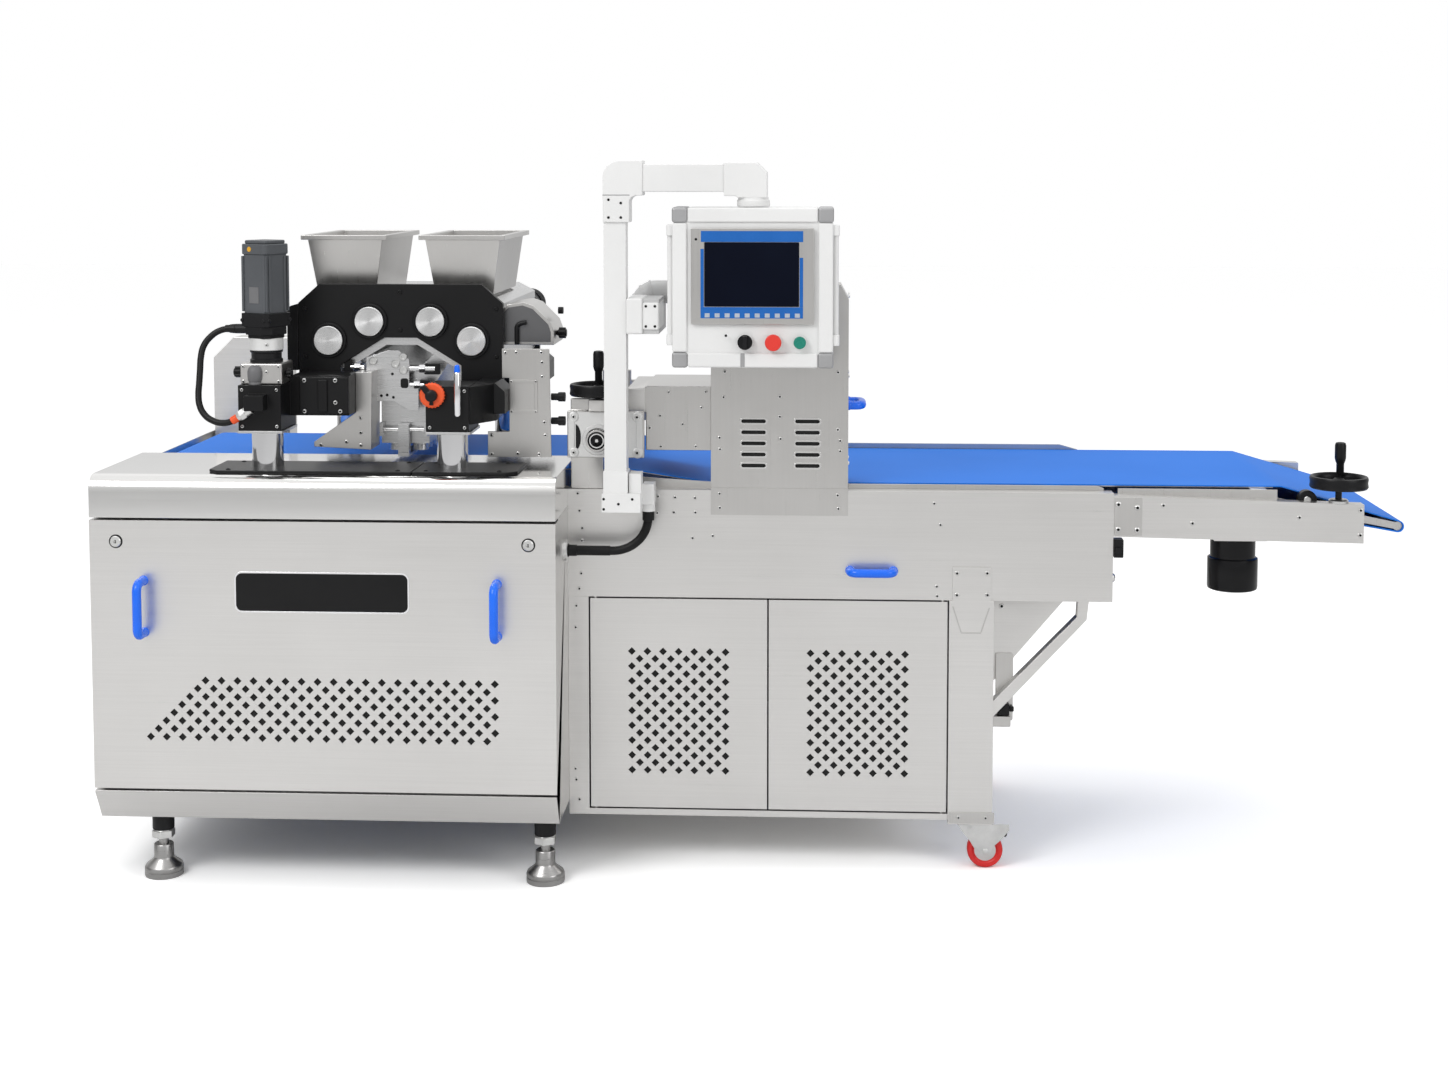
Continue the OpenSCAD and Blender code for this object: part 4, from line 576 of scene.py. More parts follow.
def base_cabinet():
    dress("base_panels", "brushed_sheet", 1.2)
    dress("base_top_cover", "polished_sheet", 1.2)
    dress("rear_drive_box", "brushed_sheet", 2)
    coat_node("base_frame", "bare_tube")
    coat_node("slider_bed", "brushed_sheet")
    coat_node("electrical_tray", "bare_tube")
    dress("base_front_panel", "brushed_sheet", 0.8)
    panel = BODY_OF["base_front_panel"]
    # Black sheet behind the vent holes: painted shade of the cabinet's dark inside.
    blocks("panel_vent_painted_shade", panel, "painted_shade_black",
           [((-1515, BASE_FACE + 3.4, 345), (-585, BASE_FACE + 10, 550))], 1)
    slab("bare_nameplate", panel, "black_plate", rounded((-1259, 691), (-835, 786), 15), "Y",
         BASE_FACE - 1.6, BASE_FACE + 0.2, 0.4)
    bm = bmesh.new()
    ring_plate(bm, rounded((-1262, 688), (-832, 789), 18), rounded((-1258, 692), (-836, 785), 15), "Y",
               BASE_FACE - 2.2, BASE_FACE + 0.1)
    piece("nameplate_rim", bm, panel, "chrome", edge=0.4)
    bm = bmesh.new()
    for x in (-1487, -618):
        bow_handle(bm, (x, BASE_FACE, 700), Z, FRONT, 150, 62, 11)
    piece("panel_handles", bm, panel, "blue_moulding", ("front_panel_handles",), smooth=40)
    for node, x in (("left_panel_lock", -1554), ("right_panel_lock", -541)):
        bm = bmesh.new()
        lathe(bm, [(0.01, 3.4), (3.6, 3.4), (4.4, 5.2), (11.6, 5.2), (13.5, 3.6), (13.5, 0.4), (8.9, 0.3),
                   (8.9, -27), (0.01, -27)], (x, BASE_FACE, LOCK_Z), FRONT, 32)
        box(bm, (x - 6, BASE_FACE + 15, LOCK_Z), (x + 6, BASE_FACE + 19.8, LOCK_Z + 34))
        piece(node + "_barrel", bm, BODY_OF[node], "zinc", (node,), smooth=40)
        turned(node + "_seal", panel, "black_moulding", [(x, BASE_FACE, LOCK_Z)], FRONT,
               [(14, 0), (14, 1.6), (16.5, 1.4), (17, 0)])
        # Black sheet on the lock face paints the shade in its key slot.
        blocks(node + "_key_slot_painted_shade", BODY_OF[node], "painted_shade_black",
               [((x - 1.2, BASE_FACE - 3.8, LOCK_Z - 3.6), (x + 1.2, BASE_FACE - 3.2, LOCK_Z + 3.6))], 0)
    levelling_feet()
    turned("hose_flange", "frame", "zinc", [(-475, HOSE_Y, 819)], X,
           [(0.01, 10.5), (24, 10.5), (26, 8.5), (26, 0)])
    back = [(x, BASE_BACK, z) for x in (-1560, -1050, -540) for z in (300, 580, 860)]
    screws("base_back_screws", "frame", back, BACK, 6, 3)
    bm = bmesh.new()
    for z in range(420, 700, 28):
        for x in (-1250, -850):
            prism(bm, [(BASE_BACK, z), (BASE_BACK + 7, z - 3), (BASE_BACK, z - 16)], "X", x - 110, x + 110)
    piece("base_back_louvres", bm, "frame", "brushed_sheet", edge=0.8)


def levelling_feet():
    feet = [(x, y) for x in (-1480, -517) for y in (-430, 517.5)]
    pad = [(0.01, 0), (46.5, 0), (47.5, 2), (47.5, 13), (46, 14), (46, 16), (47.5, 17), (47.5, 23),
           (45, 28), (26, 43), (24.5, 48), (24.5, 78), (23, 80), (12, 80), (12, 120)]
    bm = bmesh.new()
    for x, y in feet:
        lathe(bm, pad, (x, y, 0), Z, 40)
    piece("feet", bm, "frame", "grey_steel", ("levelling_feet",), smooth=40)
    bm = bmesh.new()
    for x, y in feet:
        bar(bm, (x, y, 97), (x, y, 115), 29, sides=6)
        bar(bm, (x, y, 115.2), (x, y, 118), 26, sides=24)
    piece("feet_nuts", bm, "frame", "zinc", edge=2)
    turned("feet_sockets", "frame", "black_moulding", [(x, y, 0) for x, y in feet], Z,
           [(0.01, 118), (25, 118), (27, 120), (27, 160), (0.01, 160)], steps=28)


base_cabinet()


# Lifting head

def lift_and_drive():
    bm = bmesh.new()
    for x in POSTS_X:
        for y, foot in ((POST_Y, POST_FOOT), (REAR_POST_Y, REAR_POST_FOOT)):
            lathe(bm, [(0.01, foot), (POST_R, foot), (POST_R, POST_TOP), (0.01, POST_TOP)], (x, y, 0), Z, 48)
    piece("lift_posts", bm, "frame", "chrome", ("guide_posts",), smooth=40)
    left = [(-1314, -480), (-834, -480), (-834, -310), (-1340, -310), (-1340, -454)]
    right = [(-832, -480), (-602, -480), (-576, -454), (-576, -310), (-832, -310)]
    rear = [(-1340, 412), (-576, 412), (-576, 548), (-1340, 548)]
    thick = 8
    bm = bmesh.new()
    for outline, top in ((left, POST_FOOT), (right, POST_FOOT), (rear, REAR_POST_FOOT)):
        prism(bm, outline, "Z", top - thick, top)
    piece("post_foot_plates", bm, "frame", "black_plate", edge=2.5)
    places = [(x, y, POST_FOOT) for x in (-1290, -870, -800, -620) for y in (-462, -328)]
    screws("foot_plate_screws", "frame", places, Z, 6.5, 2.2, "black_moulding")
    dress("lift_housings", "black_plate", 2.5)
    bm = bmesh.new()
    for x in POSTS_X:
        for y in (POST_Y, REAR_POST_Y):
            ring_plate(bm, rounded((x - 57, y - 72), (x + 57, y + 72), 6), round_hole((x, y), POST_R + 0.6),
                       "Z", 1118.5, 1124.8)
    piece("housing_flanges", bm, "head", "machined", edge=0.8)
    places = [(x + s * 43, -455, z) for x in POSTS_X for s in (-1, 1) for z in (1136, 1226)]
    screws("housing_screws", "head", places, FRONT, 4.6, 3, "zinc")
    cover_face = -379
    blocks("left_carriage_cover", "head", "black_plate",
           [((-1133, cover_face, 1157), (-1010, cover_face + 9, 1250)),
            ((-1086, cover_face - 5, 1163), (-1062, cover_face, 1244))], 3)
    places = on_front(cover_face, (-1042, 1242), (-1042, 1187), (-1120, 1242), (-1120, 1165), (-1030, 1165))
    screws("left_carriage_screws", "head", places, FRONT, 6)
    slab("right_housing_wing", "head", "black_plate",
         [(-695, -452), (-642, -362), (-642, -310), (-695, -310)], "Z", 1142, 1236, 2.5)
    slab("left_upright_plate", "head", "black_plate",
         [(-1196, 1254), (-1168, 1254), (-1168, 1424), (-1188, 1418), (-1196, 1404)], "Y", -252, -234, 1.5)
    turned("oil_pot", "head", "chrome", [(-721, -463, 1165)], Z,
           [(0.01, 0), (6, 0), (8.5, 4), (8.5, 104), (6.5, 108), (0.01, 108)], steps=24)
    turned("oil_pot_cap", "head", "blue_moulding", [(-721, -463, 1273)], Z,
           [(0.01, 0), (7, 0), (7.4, 4), (6, 16), (3, 18), (0.01, 18)], steps=20)
    out = Vector((0.844, 0, 0.537))
    bm = bmesh.new()
    lathe(bm, [(8.2, -8), (11, -8), (12, -2), (12.2, 0)], GLAND_AT, out, 24)
    bar(bm, GLAND_AT, GLAND_AT + out * 14, 14.5, sides=6)
    lathe(bm, [(12.4, 14), (12.4, 30), (0.01, 30)], GLAND_AT, out, 24)
    piece("cable_gland", bm, "head", "zinc", edge=0.8)
    turned("cable_end_sleeve", "head", "orange_moulding", [tuple(GLAND_AT - out * 8)], -out,
           [(8.3, 18), (10, 17), (10, 1), (8.3, 0)], steps=24)
    setting_dial()
    servo_drive()


def setting_dial():
    at = (-783, -455, 1216)
    bm = bmesh.new()
    lathe(bm, [(0.01, -13), (7.9, -13), (7.9, 0.5), (29, 0.6), (30, 2), (30, 11.5), (27, 14.4),
               (0.01, 14.4)], at, FRONT, 48)
    for k in range(24):
        a = 2 * math.pi * k / 24
        p = Vector(at) + Vector((30 * math.cos(a), 0, 30 * math.sin(a)))
        bar(bm, p + FRONT * 2, p + FRONT * 11.5, 1.6, sides=8)
    piece("dial", bm, BODY_OF["setting_knob"], "orange_moulding", ("setting_knob",), smooth=40)
    bm = bmesh.new()
    lathe(bm, [(0.01, 28.3), (10, 28.3), (14, 26), (15, 22), (15, 14.3), (0.01, 14.3)], at, FRONT, 32)
    prism(bm, [(-787, 1206), (-779, 1206), (-778, 1193), (-788, 1193)], "Y", -477, -469.6)
    prism(bm, [(-792, 1214), (-781, 1224), (-797, 1242), (-804, 1241), (-808, 1234)], "Y", -482, -469.6)
    piece("dial_lever", bm, BODY_OF["setting_knob"], "black_moulding", edge=1.2)


def servo_drive():
    x, y = POSTS_X[0], POST_Y
    blocks("bevel_box", "head", "satin_plate", [((x - 52, y - 52, 1237), (x + 52, y + 52, 1289))], 4,
           ("bevel_gearbox",), 3)
    screws("bevel_box_screws", "head",
           on_front(y - 52, (x - 44, 1281), (x + 44, 1281), (x - 44, 1245), (x + 44, 1245), (x + 14, 1268)),
           FRONT, 4.5, 2.5)
    bm = bmesh.new()
    star_knob(bm, (x - 52, y, 1263), LEFT, 15, 30)
    star_knob(bm, (x + 52, y - 20, 1263), RIGHT, 13, 18)
    piece("bevel_knobs", bm, "head", "black_moulding", edge=0.8)
    turned("bevel_boot", "head", "grey_rubber", [(x - 15, y - 53, 1236)], Z,
           [(0.01, 0), (14, 0), (15.5, 3), (14.5, 8), (17, 13), (18, 22), (18, 34), (15, 43), (9, 48),
            (0.01, 49)], steps=28)
    turned("drive_collar", "head", "black_cast", [(x, y, 0)], Z,
           [(0.01, 1289), (40, 1289), (40, 1296), (37, 1298), (37, 1312), (40, 1314), (40, 1319),
            (0.01, 1319)], steps=48)
    turned("drive_ring", "head", "pale_cast", [(x, y, 0)], Z,
           [(0.01, 1319), (40, 1319), (41.5, 1320.5), (41.5, 1347), (40, 1349), (0.01, 1349)], steps=48)
    screws("drive_ring_screws", "head", [(x + 12, y - 41, 1334)], FRONT, 4, 2)

    def turn(bm):
        """The motor stands turned on the coupling ring."""
        bmesh.ops.rotate(bm, verts=bm.verts, cent=vec((x, y, 0)),
                         matrix=Matrix.Rotation(MOTOR_TURN, 3, "Z"))

    body_foot, body_top = 1411, 1556
    rib_foot, rib_top = body_foot + 4, body_top - 4
    bm = bmesh.new()
    for half, cut, z0, z1 in ((38, 14, 1349, 1358), (45, 20, 1358, 1378), (46, 9, 1378, body_foot)):
        prism(bm, [(x - half + cut, y - half), (x + half - cut, y - half), (x + half, y - half + cut),
                   (x + half, y + half - cut), (x + half - cut, y + half), (x - half + cut, y + half),
                   (x - half, y + half - cut), (x - half, y - half + cut)], "Z", z0, z1)
    bolt = [(0.01, 3), (3, 3), (5, 2), (5, 0)]
    for d in (-36, 36):
        lathe(bm, bolt, (x + d, y - 45.5, 1394), FRONT, 12)
        lathe(bm, bolt, (x + 45.5, y + d, 1394), RIGHT, 12)
    turn(bm)
    piece("servo_gear_head", bm, "head", "black_cast", ("servo_motor",), 1.5)
    bm = bmesh.new()
    prism(bm, rounded((x - 39, y - 39), (x + 39, y + 39), 9), "Z", body_foot, body_top)
    for d in (-37, -26, 26, 37):
        box(bm, (x + 37, y + d - 3, rib_foot), (x + 42, y + d + 3, rib_top))
        box(bm, (x - 42, y + d - 3, rib_foot), (x - 37, y + d + 3, rib_top))
        box(bm, (x + d - 3, y + 37, rib_foot), (x + d + 3, y + 42, rib_top))
    for d in (-36, 36):
        box(bm, (x + d - 3, y - 42, rib_foot), (x + d + 3, y - 37, rib_top))
    turn(bm)
    piece("servo_body", bm, "head", "servo_grey", edge=1.2)
    bm = bmesh.new()
    box(bm, (x - 16, y - 40, 1436), (x + 16, y - 39, 1476))
    turn(bm)
    piece("servo_label", bm, "head", "grey_rubber")
    bm = bmesh.new()
    prism(bm, rounded((x - 42, y - 42), (x + 42, y + 42), 10), "Z", body_top, 1582)
    prism(bm, rounded((x - 37, y - 37), (x + 37, y + 37), 10), "Z", 1582, 1591)
    turn(bm)
    piece("servo_cap", bm, "head", "servo_grey", edge=3, steps=3)
    turned("servo_plug", "head", "black_cast", [PLUG_AT], RIGHT,
           [(0.01, 0), (11, 0), (12, 1), (12, 30), (0.01, 30)], steps=24)
    bm = bmesh.new()
    lathe(bm, [(0.01, 0.8), (6, 0.8), (6.4, 0)], (x - 12, y - 42, 1569), FRONT, 20)
    turn(bm)
    piece("servo_mark", bm, "head", "yellow_mark")


def feeding():
    dress("front_side_plate", "black_plate", 2.0)
    dress("rear_side_plate", "black_plate", 2.0)
    dress("hoppers", "satin_plate", 1.2)
    dress("roller_housing", "machined", 0.8)
    dress("nozzle_die", "machined", 0.8)
    dress("wire_cut_frame", "machined", 0.8)
    dress("mechanism_plates", "satin_plate", 1.2)
    dress("feed_motor", "black_cast", 3)
    for k, (x, z) in CAPS.items():
        node = "feed_roller_%d" % k
        bm = bmesh.new()
        lathe(bm, [(0.01, 264.5), (35.5, 264.5), (37, 263), (37, 250.6), (18, 250.5), (18, 229.5),
                   (52, 229.5), (53, 228.5), (53, -388.5), (52, -389.5), (18, -389.5), (18, -409),
                   (0.01, -409)], (x, 0, z), FRONT, 64)
        piece(node + "_turned", bm, BODY_OF[node], "spun_cap_%d" % k, (node,), smooth=35)
    # Black collar round each cap; its black paints the shade of the gap round the cap.
    rings = [(x, ARCH_FACE, z) for x, z in CAPS.values()]
    turned("cap_gap_shade_rings", "head", "black_moulding", rings, FRONT,
           [(37.6, 0.2), (38, 7.5), (39.2, 9), (43, 9), (45, 7), (45, 0)], steps=56)
    screws("side_plate_screws", "head",
           on_front(ARCH_FACE, (-1150, 1412), (-1150, 1290), (-1150, 1180), (-660, 1412), (-660, 1290),
                    (-905, 1455), (-905, 1358), (-1076, 1180), (-734, 1180)), FRONT, 6, 3, "black_moulding")
    slab("cam_plate", "head", "machined",
         [(-997, 1285), (-999, 1174), (-928, 1174), (-888, 1150), (-863, 1150), (-863, 1210), (-887, 1219),
          (-886, 1281), (-912, 1304), (-943, 1304)], "Y", CAM_FACE, CAM_FACE + 5, 0.8)
    turned("cam_rollers", "head", "zinc",
           on_front(CAM_FACE, (-901, 1288), (-921, 1270), (-900, 1254), (-978, 1277)), FRONT,
           [(0.01, 5), (4, 5), (4.6, 7), (9, 7), (10.5, 5.5), (10.5, 0)], steps=24)
    # Black discs on the cam plate paint the shade in its holes.
    turned("cam_holes_painted_shade", "head", "painted_shade_black",
           on_front(CAM_FACE, (-930, 1244), (-959, 1188), (-944, 1190), (-928, 1184)), FRONT,
           [(0.01, 0.3), (3.6, 0.3), (3.8, 0)], steps=14)
    # Black sheet on the cam plate paints the shade in its slot.
    slab("cam_slot_painted_shade", "head", "painted_shade_black", rounded((-909, 1208), (-889, 1233), 6), "Y",
         CAM_FACE - 0.4, CAM_FACE + 0.2, 0)
    bm = bmesh.new()
    for x0, x1, z, r in ((-884, -818, 1259, 8), (-884, -846, 1217, 7), (-1000, -1036, 1262, 7)):
        bar(bm, (x0, -240, z), (x1, -240, z), r, sides=24)
        bar(bm, ((x0 + x1) / 2 - 8, -240, z), ((x0 + x1) / 2 + 8, -240, z), r + 4, sides=6)
    piece("cam_rods", bm, "head", "chrome", edge=0.8, smooth=50)
    blocks("cam_clamps", "head", "black_plate",
           [((-846, -246, 1244), (-806, -231, 1272)), ((-858, -246, 1204), (-832, -231, 1230)),
            ((-1052, -246, 1246), (-1030, -231, 1280))], 2)
    pane = rounded((-609, 1162), (-556, 1230), 3)
    bm = bmesh.new()
    ring_plate(bm, rounded((-617, 1154), (-548, 1238), 4), pane, "Y", END_PLATE_FACE - 2.5, END_PLATE_FACE)
    piece("end_plate_window", bm, "head", "satin_plate", edge=0.6)
    slab("end_plate_pane", "head", "satin_plate", pane, "Y", END_PLATE_FACE - 1, END_PLATE_FACE + 0.2, 0.2)
    plate = [(-628, 1306), (-601, 1307), (-538, 1307), (-536, 1282), (-536, 1246), (-531, 1131),
             (-529, 1098), (-665, 1098), (-665, 1050), (-599, 1052), (-545, 1050)]
    screws("end_plate_screws", "head", on_front(END_PLATE_FACE, *plate), FRONT, 5)
    screws("window_screws", "head",
           on_front(END_PLATE_FACE - 2.5, (-613, 1234), (-552, 1234), (-613, 1158), (-552, 1158)), FRONT, 3)
    screws("wedge_screws", "head", on_front(END_PLATE_FACE, (-998, 1139), (-998, 1102), (-998, 1070),
                                            (-1035, 1078), (-1100, 1070)), FRONT, 5)
    face = [(-648, 1326), (-648, 1398), (-634, 1414), (-598, 1419), (-572, 1410), (-532, 1370),
            (-526, 1350), (-526, 1326)]
    slab("guard_face", "head", "smoked_plate", face, "Y", -215.5, -213.6, 0.8)
    bm = bmesh.new()
    tube(bm, bent_path([(-612, -222, 1320), (-612, -222, 1372), (-588, -222, 1376)], 14), 6, 14)
    star_knob(bm, (-518, -160, 1345), RIGHT, 15, 26)
    bar(bm, (-519, -120, 1400), (-506, -120, 1400), 9, sides=16)
    piece("guard_handle", bm, "head", "black_moulding", smooth=45)
    bm = bmesh.new()
    for z in (1192, 1131):
        bar(bm, (-518, -270, z), (-486, -270, z), 9, sides=20)
        bar(bm, (-500, -270, z), (-482, -270, z), 12, sides=20)
    piece("head_adjusters", bm, "head", "black_moulding", edge=1)
    places = [(x, 470, z) for x in (-1070, -905, -740) for z in (1308, 1422)]
    screws("gear_case_screws", "head", places, BACK, 5.5)
    bm = bmesh.new()
    for k in range(9):
        y = 482 + 8 * k
        lathe(bm, [(40, y), (44, y), (44, y + 3), (40, y + 3)], (-690, 0, 1372), BACK, 32)
    piece("feed_motor_fins", bm, "head", "black_cast", smooth=40)


lift_and_drive()
feeding()


# Conveyor and belt

def conveyor():
    dress("conveyor_frame", "brushed_sheet", 1.2)
    dress("drive_roller", "machined", 1)
    front = [(-449, 950), (-445, 906), (-438, 862), (-439, 830), (-246, 944), (-248, 902), (-203, 942),
             (-206, 904), (-153, 941), (-152, 904), (-159, 839), (-108, 845), (-441, 746), (-446, 707),
             (454, 722), (455, 698), (446, 932), (462, 878)]
    screws("conveyor_screws", "frame", on_front(SHEET_FACE, *front), FRONT, 5)
    screws("strip_screws", "frame",
           on_front(SHEET_FACE, (-454, 663), (-456, 608), (-458, 243), (-448, 164), (-456, 215)), FRONT, 5)
    rear = [(x, SHEET_BACK, z) for x in (-440, -100, 240, 560, 860) for z in (710, 940)]
    screws("conveyor_back_screws", "frame", rear, BACK, 6)
    rail = [(-128, 961), (-128, 988), (834, 988), (884, 974), (884, 961)]
    slab("rear_belt_guide", "frame", "satin_plate", rail, "Y", 396, 402, 0.8)
    slab("front_belt_guide", "frame", "satin_plate",
         [(232, 961), (232, 972), (856, 972), (872, 966), (872, 961)], "Y", -243, -238, 0.8)
    slab("ramp_side_rail", "frame", "satin_plate", [(-300, 955), (-300, 988), (-113, 976), (-113, 955)],
         "Y", -252, -247, 0.8)
    bm = bmesh.new()
    bow_handle(bm, (291, SHEET_FACE, 760), X, FRONT, 130, 45, 11)
    bow_handle(bm, (TOWER_SIDE, -225, 1175), Y, RIGHT, 110, 45, 11)
    piece("sheet_handles", bm, "frame", "blue_moulding", ("fixed_handles",), smooth=40)
    run_belt()


def run_belt():
    """One belt from the tail drum down the ramp, over the nose to its end roller, and back underneath."""
    outer = 3
    tail, tail_r, nose, nose_r = (-1555, 959), 44 + outer, (1605, 874), 12 + outer
    bend, low = 1315, 912 - outer
    ramp_start, ramp_end = -330, -130
    drop = math.atan2(BELT_LEVEL - nose[1] - nose_r, nose[0] - bend)
    rise = math.atan2(nose[1] - nose_r - low, nose[0] - bend)
    points = [(tail[0], tail[1] + tail_r)]
    points += [(tail[0] + (ramp_start - tail[0]) * k / 6, RAMP_LEVEL) for k in range(1, 6)]
    points += [(ramp_start, RAMP_LEVEL), (ramp_end, BELT_LEVEL)]
    points += [(ramp_end + (bend - 60 - ramp_end) * k / 8, BELT_LEVEL) for k in range(1, 9)]
    points += [(bend - 40, BELT_LEVEL), (bend - 20, BELT_LEVEL), (bend, BELT_LEVEL)]
    reach = nose[0] - bend
    points += [(bend + d, BELT_LEVEL - d * math.tan(drop)) for d in (20, 40, 60, 0.5 * reach, 0.8 * reach)]
    for k in range(9):
        a = math.pi / 2 - drop - (math.pi - drop - rise) * k / 8
        points.append((nose[0] + nose_r * math.cos(a), nose[1] + nose_r * math.sin(a)))
    points += [(bend + d, low + d * math.tan(rise)) for d in (0.8 * reach, 0.5 * reach, 60, 40, 20)]
    points += [(bend, low), (bend - 20, low), (bend - 40, low), (bend - 60, low)]
    points += [(bend - 60 + (tail[0] - bend + 60) * k / 12, low) for k in range(1, 12)]
    for k in range(1, 12):
        a = -math.pi / 2 - math.pi * k / 12
        points.append((tail[0] + tail_r * math.cos(a),
                       tail[1] + (tail_r if k > 6 else tail[1] - low) * math.sin(a)))
    bm = bmesh.new()
    verts = [bm.verts.new(vec((x, BELT_FRONT, z))) for x, z in points]
    edges = [bm.edges.new(pair) for pair in zip(verts, verts[1:] + verts[:1])]
    grown = bmesh.ops.extrude_edge_only(bm, edges=edges)["geom"]
    shift_grown(bm, grown, vec((0, BELT_BACK - BELT_FRONT, 0)))
    bmesh.ops.recalc_face_normals(bm, faces=bm.faces)
    bmesh.ops.solidify(bm, geom=bm.faces[:], thickness=outer * MM)
    band = piece("belt_band", bm, None, "belt_film", ("belt", "belt_nose"), smooth=35)
    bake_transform(band)


conveyor()


# Nose

def nose_end():
    dress("nose_beams", "brushed_sheet", 1.2)
    dress("nose_frame", "satin_plate", 0.8)
    blocks("beam_corner_plate", "frame", "satin_plate",
           [((893, SHEET_FACE - 3, 856), (961, SHEET_FACE, 952))], 1)
    screws("corner_plate_screws", "frame",
           on_front(SHEET_FACE - 3, (902, 934), (902, 871), (949, 926), (949, 870)), FRONT, 7.5)
    screws("beam_screws", "frame", on_front(SHEET_FACE, (1085, 888), (1347, 905), (1013, 932), (1496, 924),
                                            (1496, 862)), FRONT, 6)
    x, y = 1205, -190
    turned("nose_motor_body", "frame", "motor_gloss", [(x, y, 0)], Z,
           [(0.01, 844), (58, 844), (58, 838), (56, 836), (56, 788), (58, 786), (62, 785), (62.5, 783),
            (62.5, 712), (61, 707), (57, 705), (0.01, 704)], ("nose_motor",), 56)
    slab("bed_side_rail", "frame", "satin_plate", [(905, 930), (905, 968), (1300, 968), (1300, 930)], "Y",
         -256, -252.5, 0.8)
    blocks("belt_sensor", "frame", "black_moulding",
           [((892, -296, 800), (916, -262, 846)), ((896, -303, 812), (910, -296, 826))], 2)
    hand_wheel("nose_wheel_rim", BODY_OF["nose_handwheel"], (NOSE_WHEEL_X, NOSE_WHEEL_Y, 993), 83,
               (14, 46, 0), ("nose_handwheel",))
    turned("nose_wheel_boss", "frame", "zinc", [(NOSE_WHEEL_X, NOSE_WHEEL_Y, 0)], Z,
           [(17.2, 938), (22, 938), (24, 940), (24, 946), (21, 949), (9, 949)], steps=32)
    turned("take_up_roller", "frame", "black_moulding", [(1374, -254, 944)], FRONT,
           [(9, 4), (21, 4), (23, 2), (23, -19), (0.01, -19)], steps=32)
    turned("take_up_end", "frame", "zinc", [(1374, -254, 944)], FRONT, [(0.01, 6), (7, 6), (9, 4), (9, 0)],
           steps=24)
    turned("conveyor_end_bolt", "frame", "zinc", [(891, -270, 745)], RIGHT,
           [(0.01, 9), (7, 8), (11, 4), (12, 0)], steps=24)


nose_end()


# Press station, gear boxes and tower

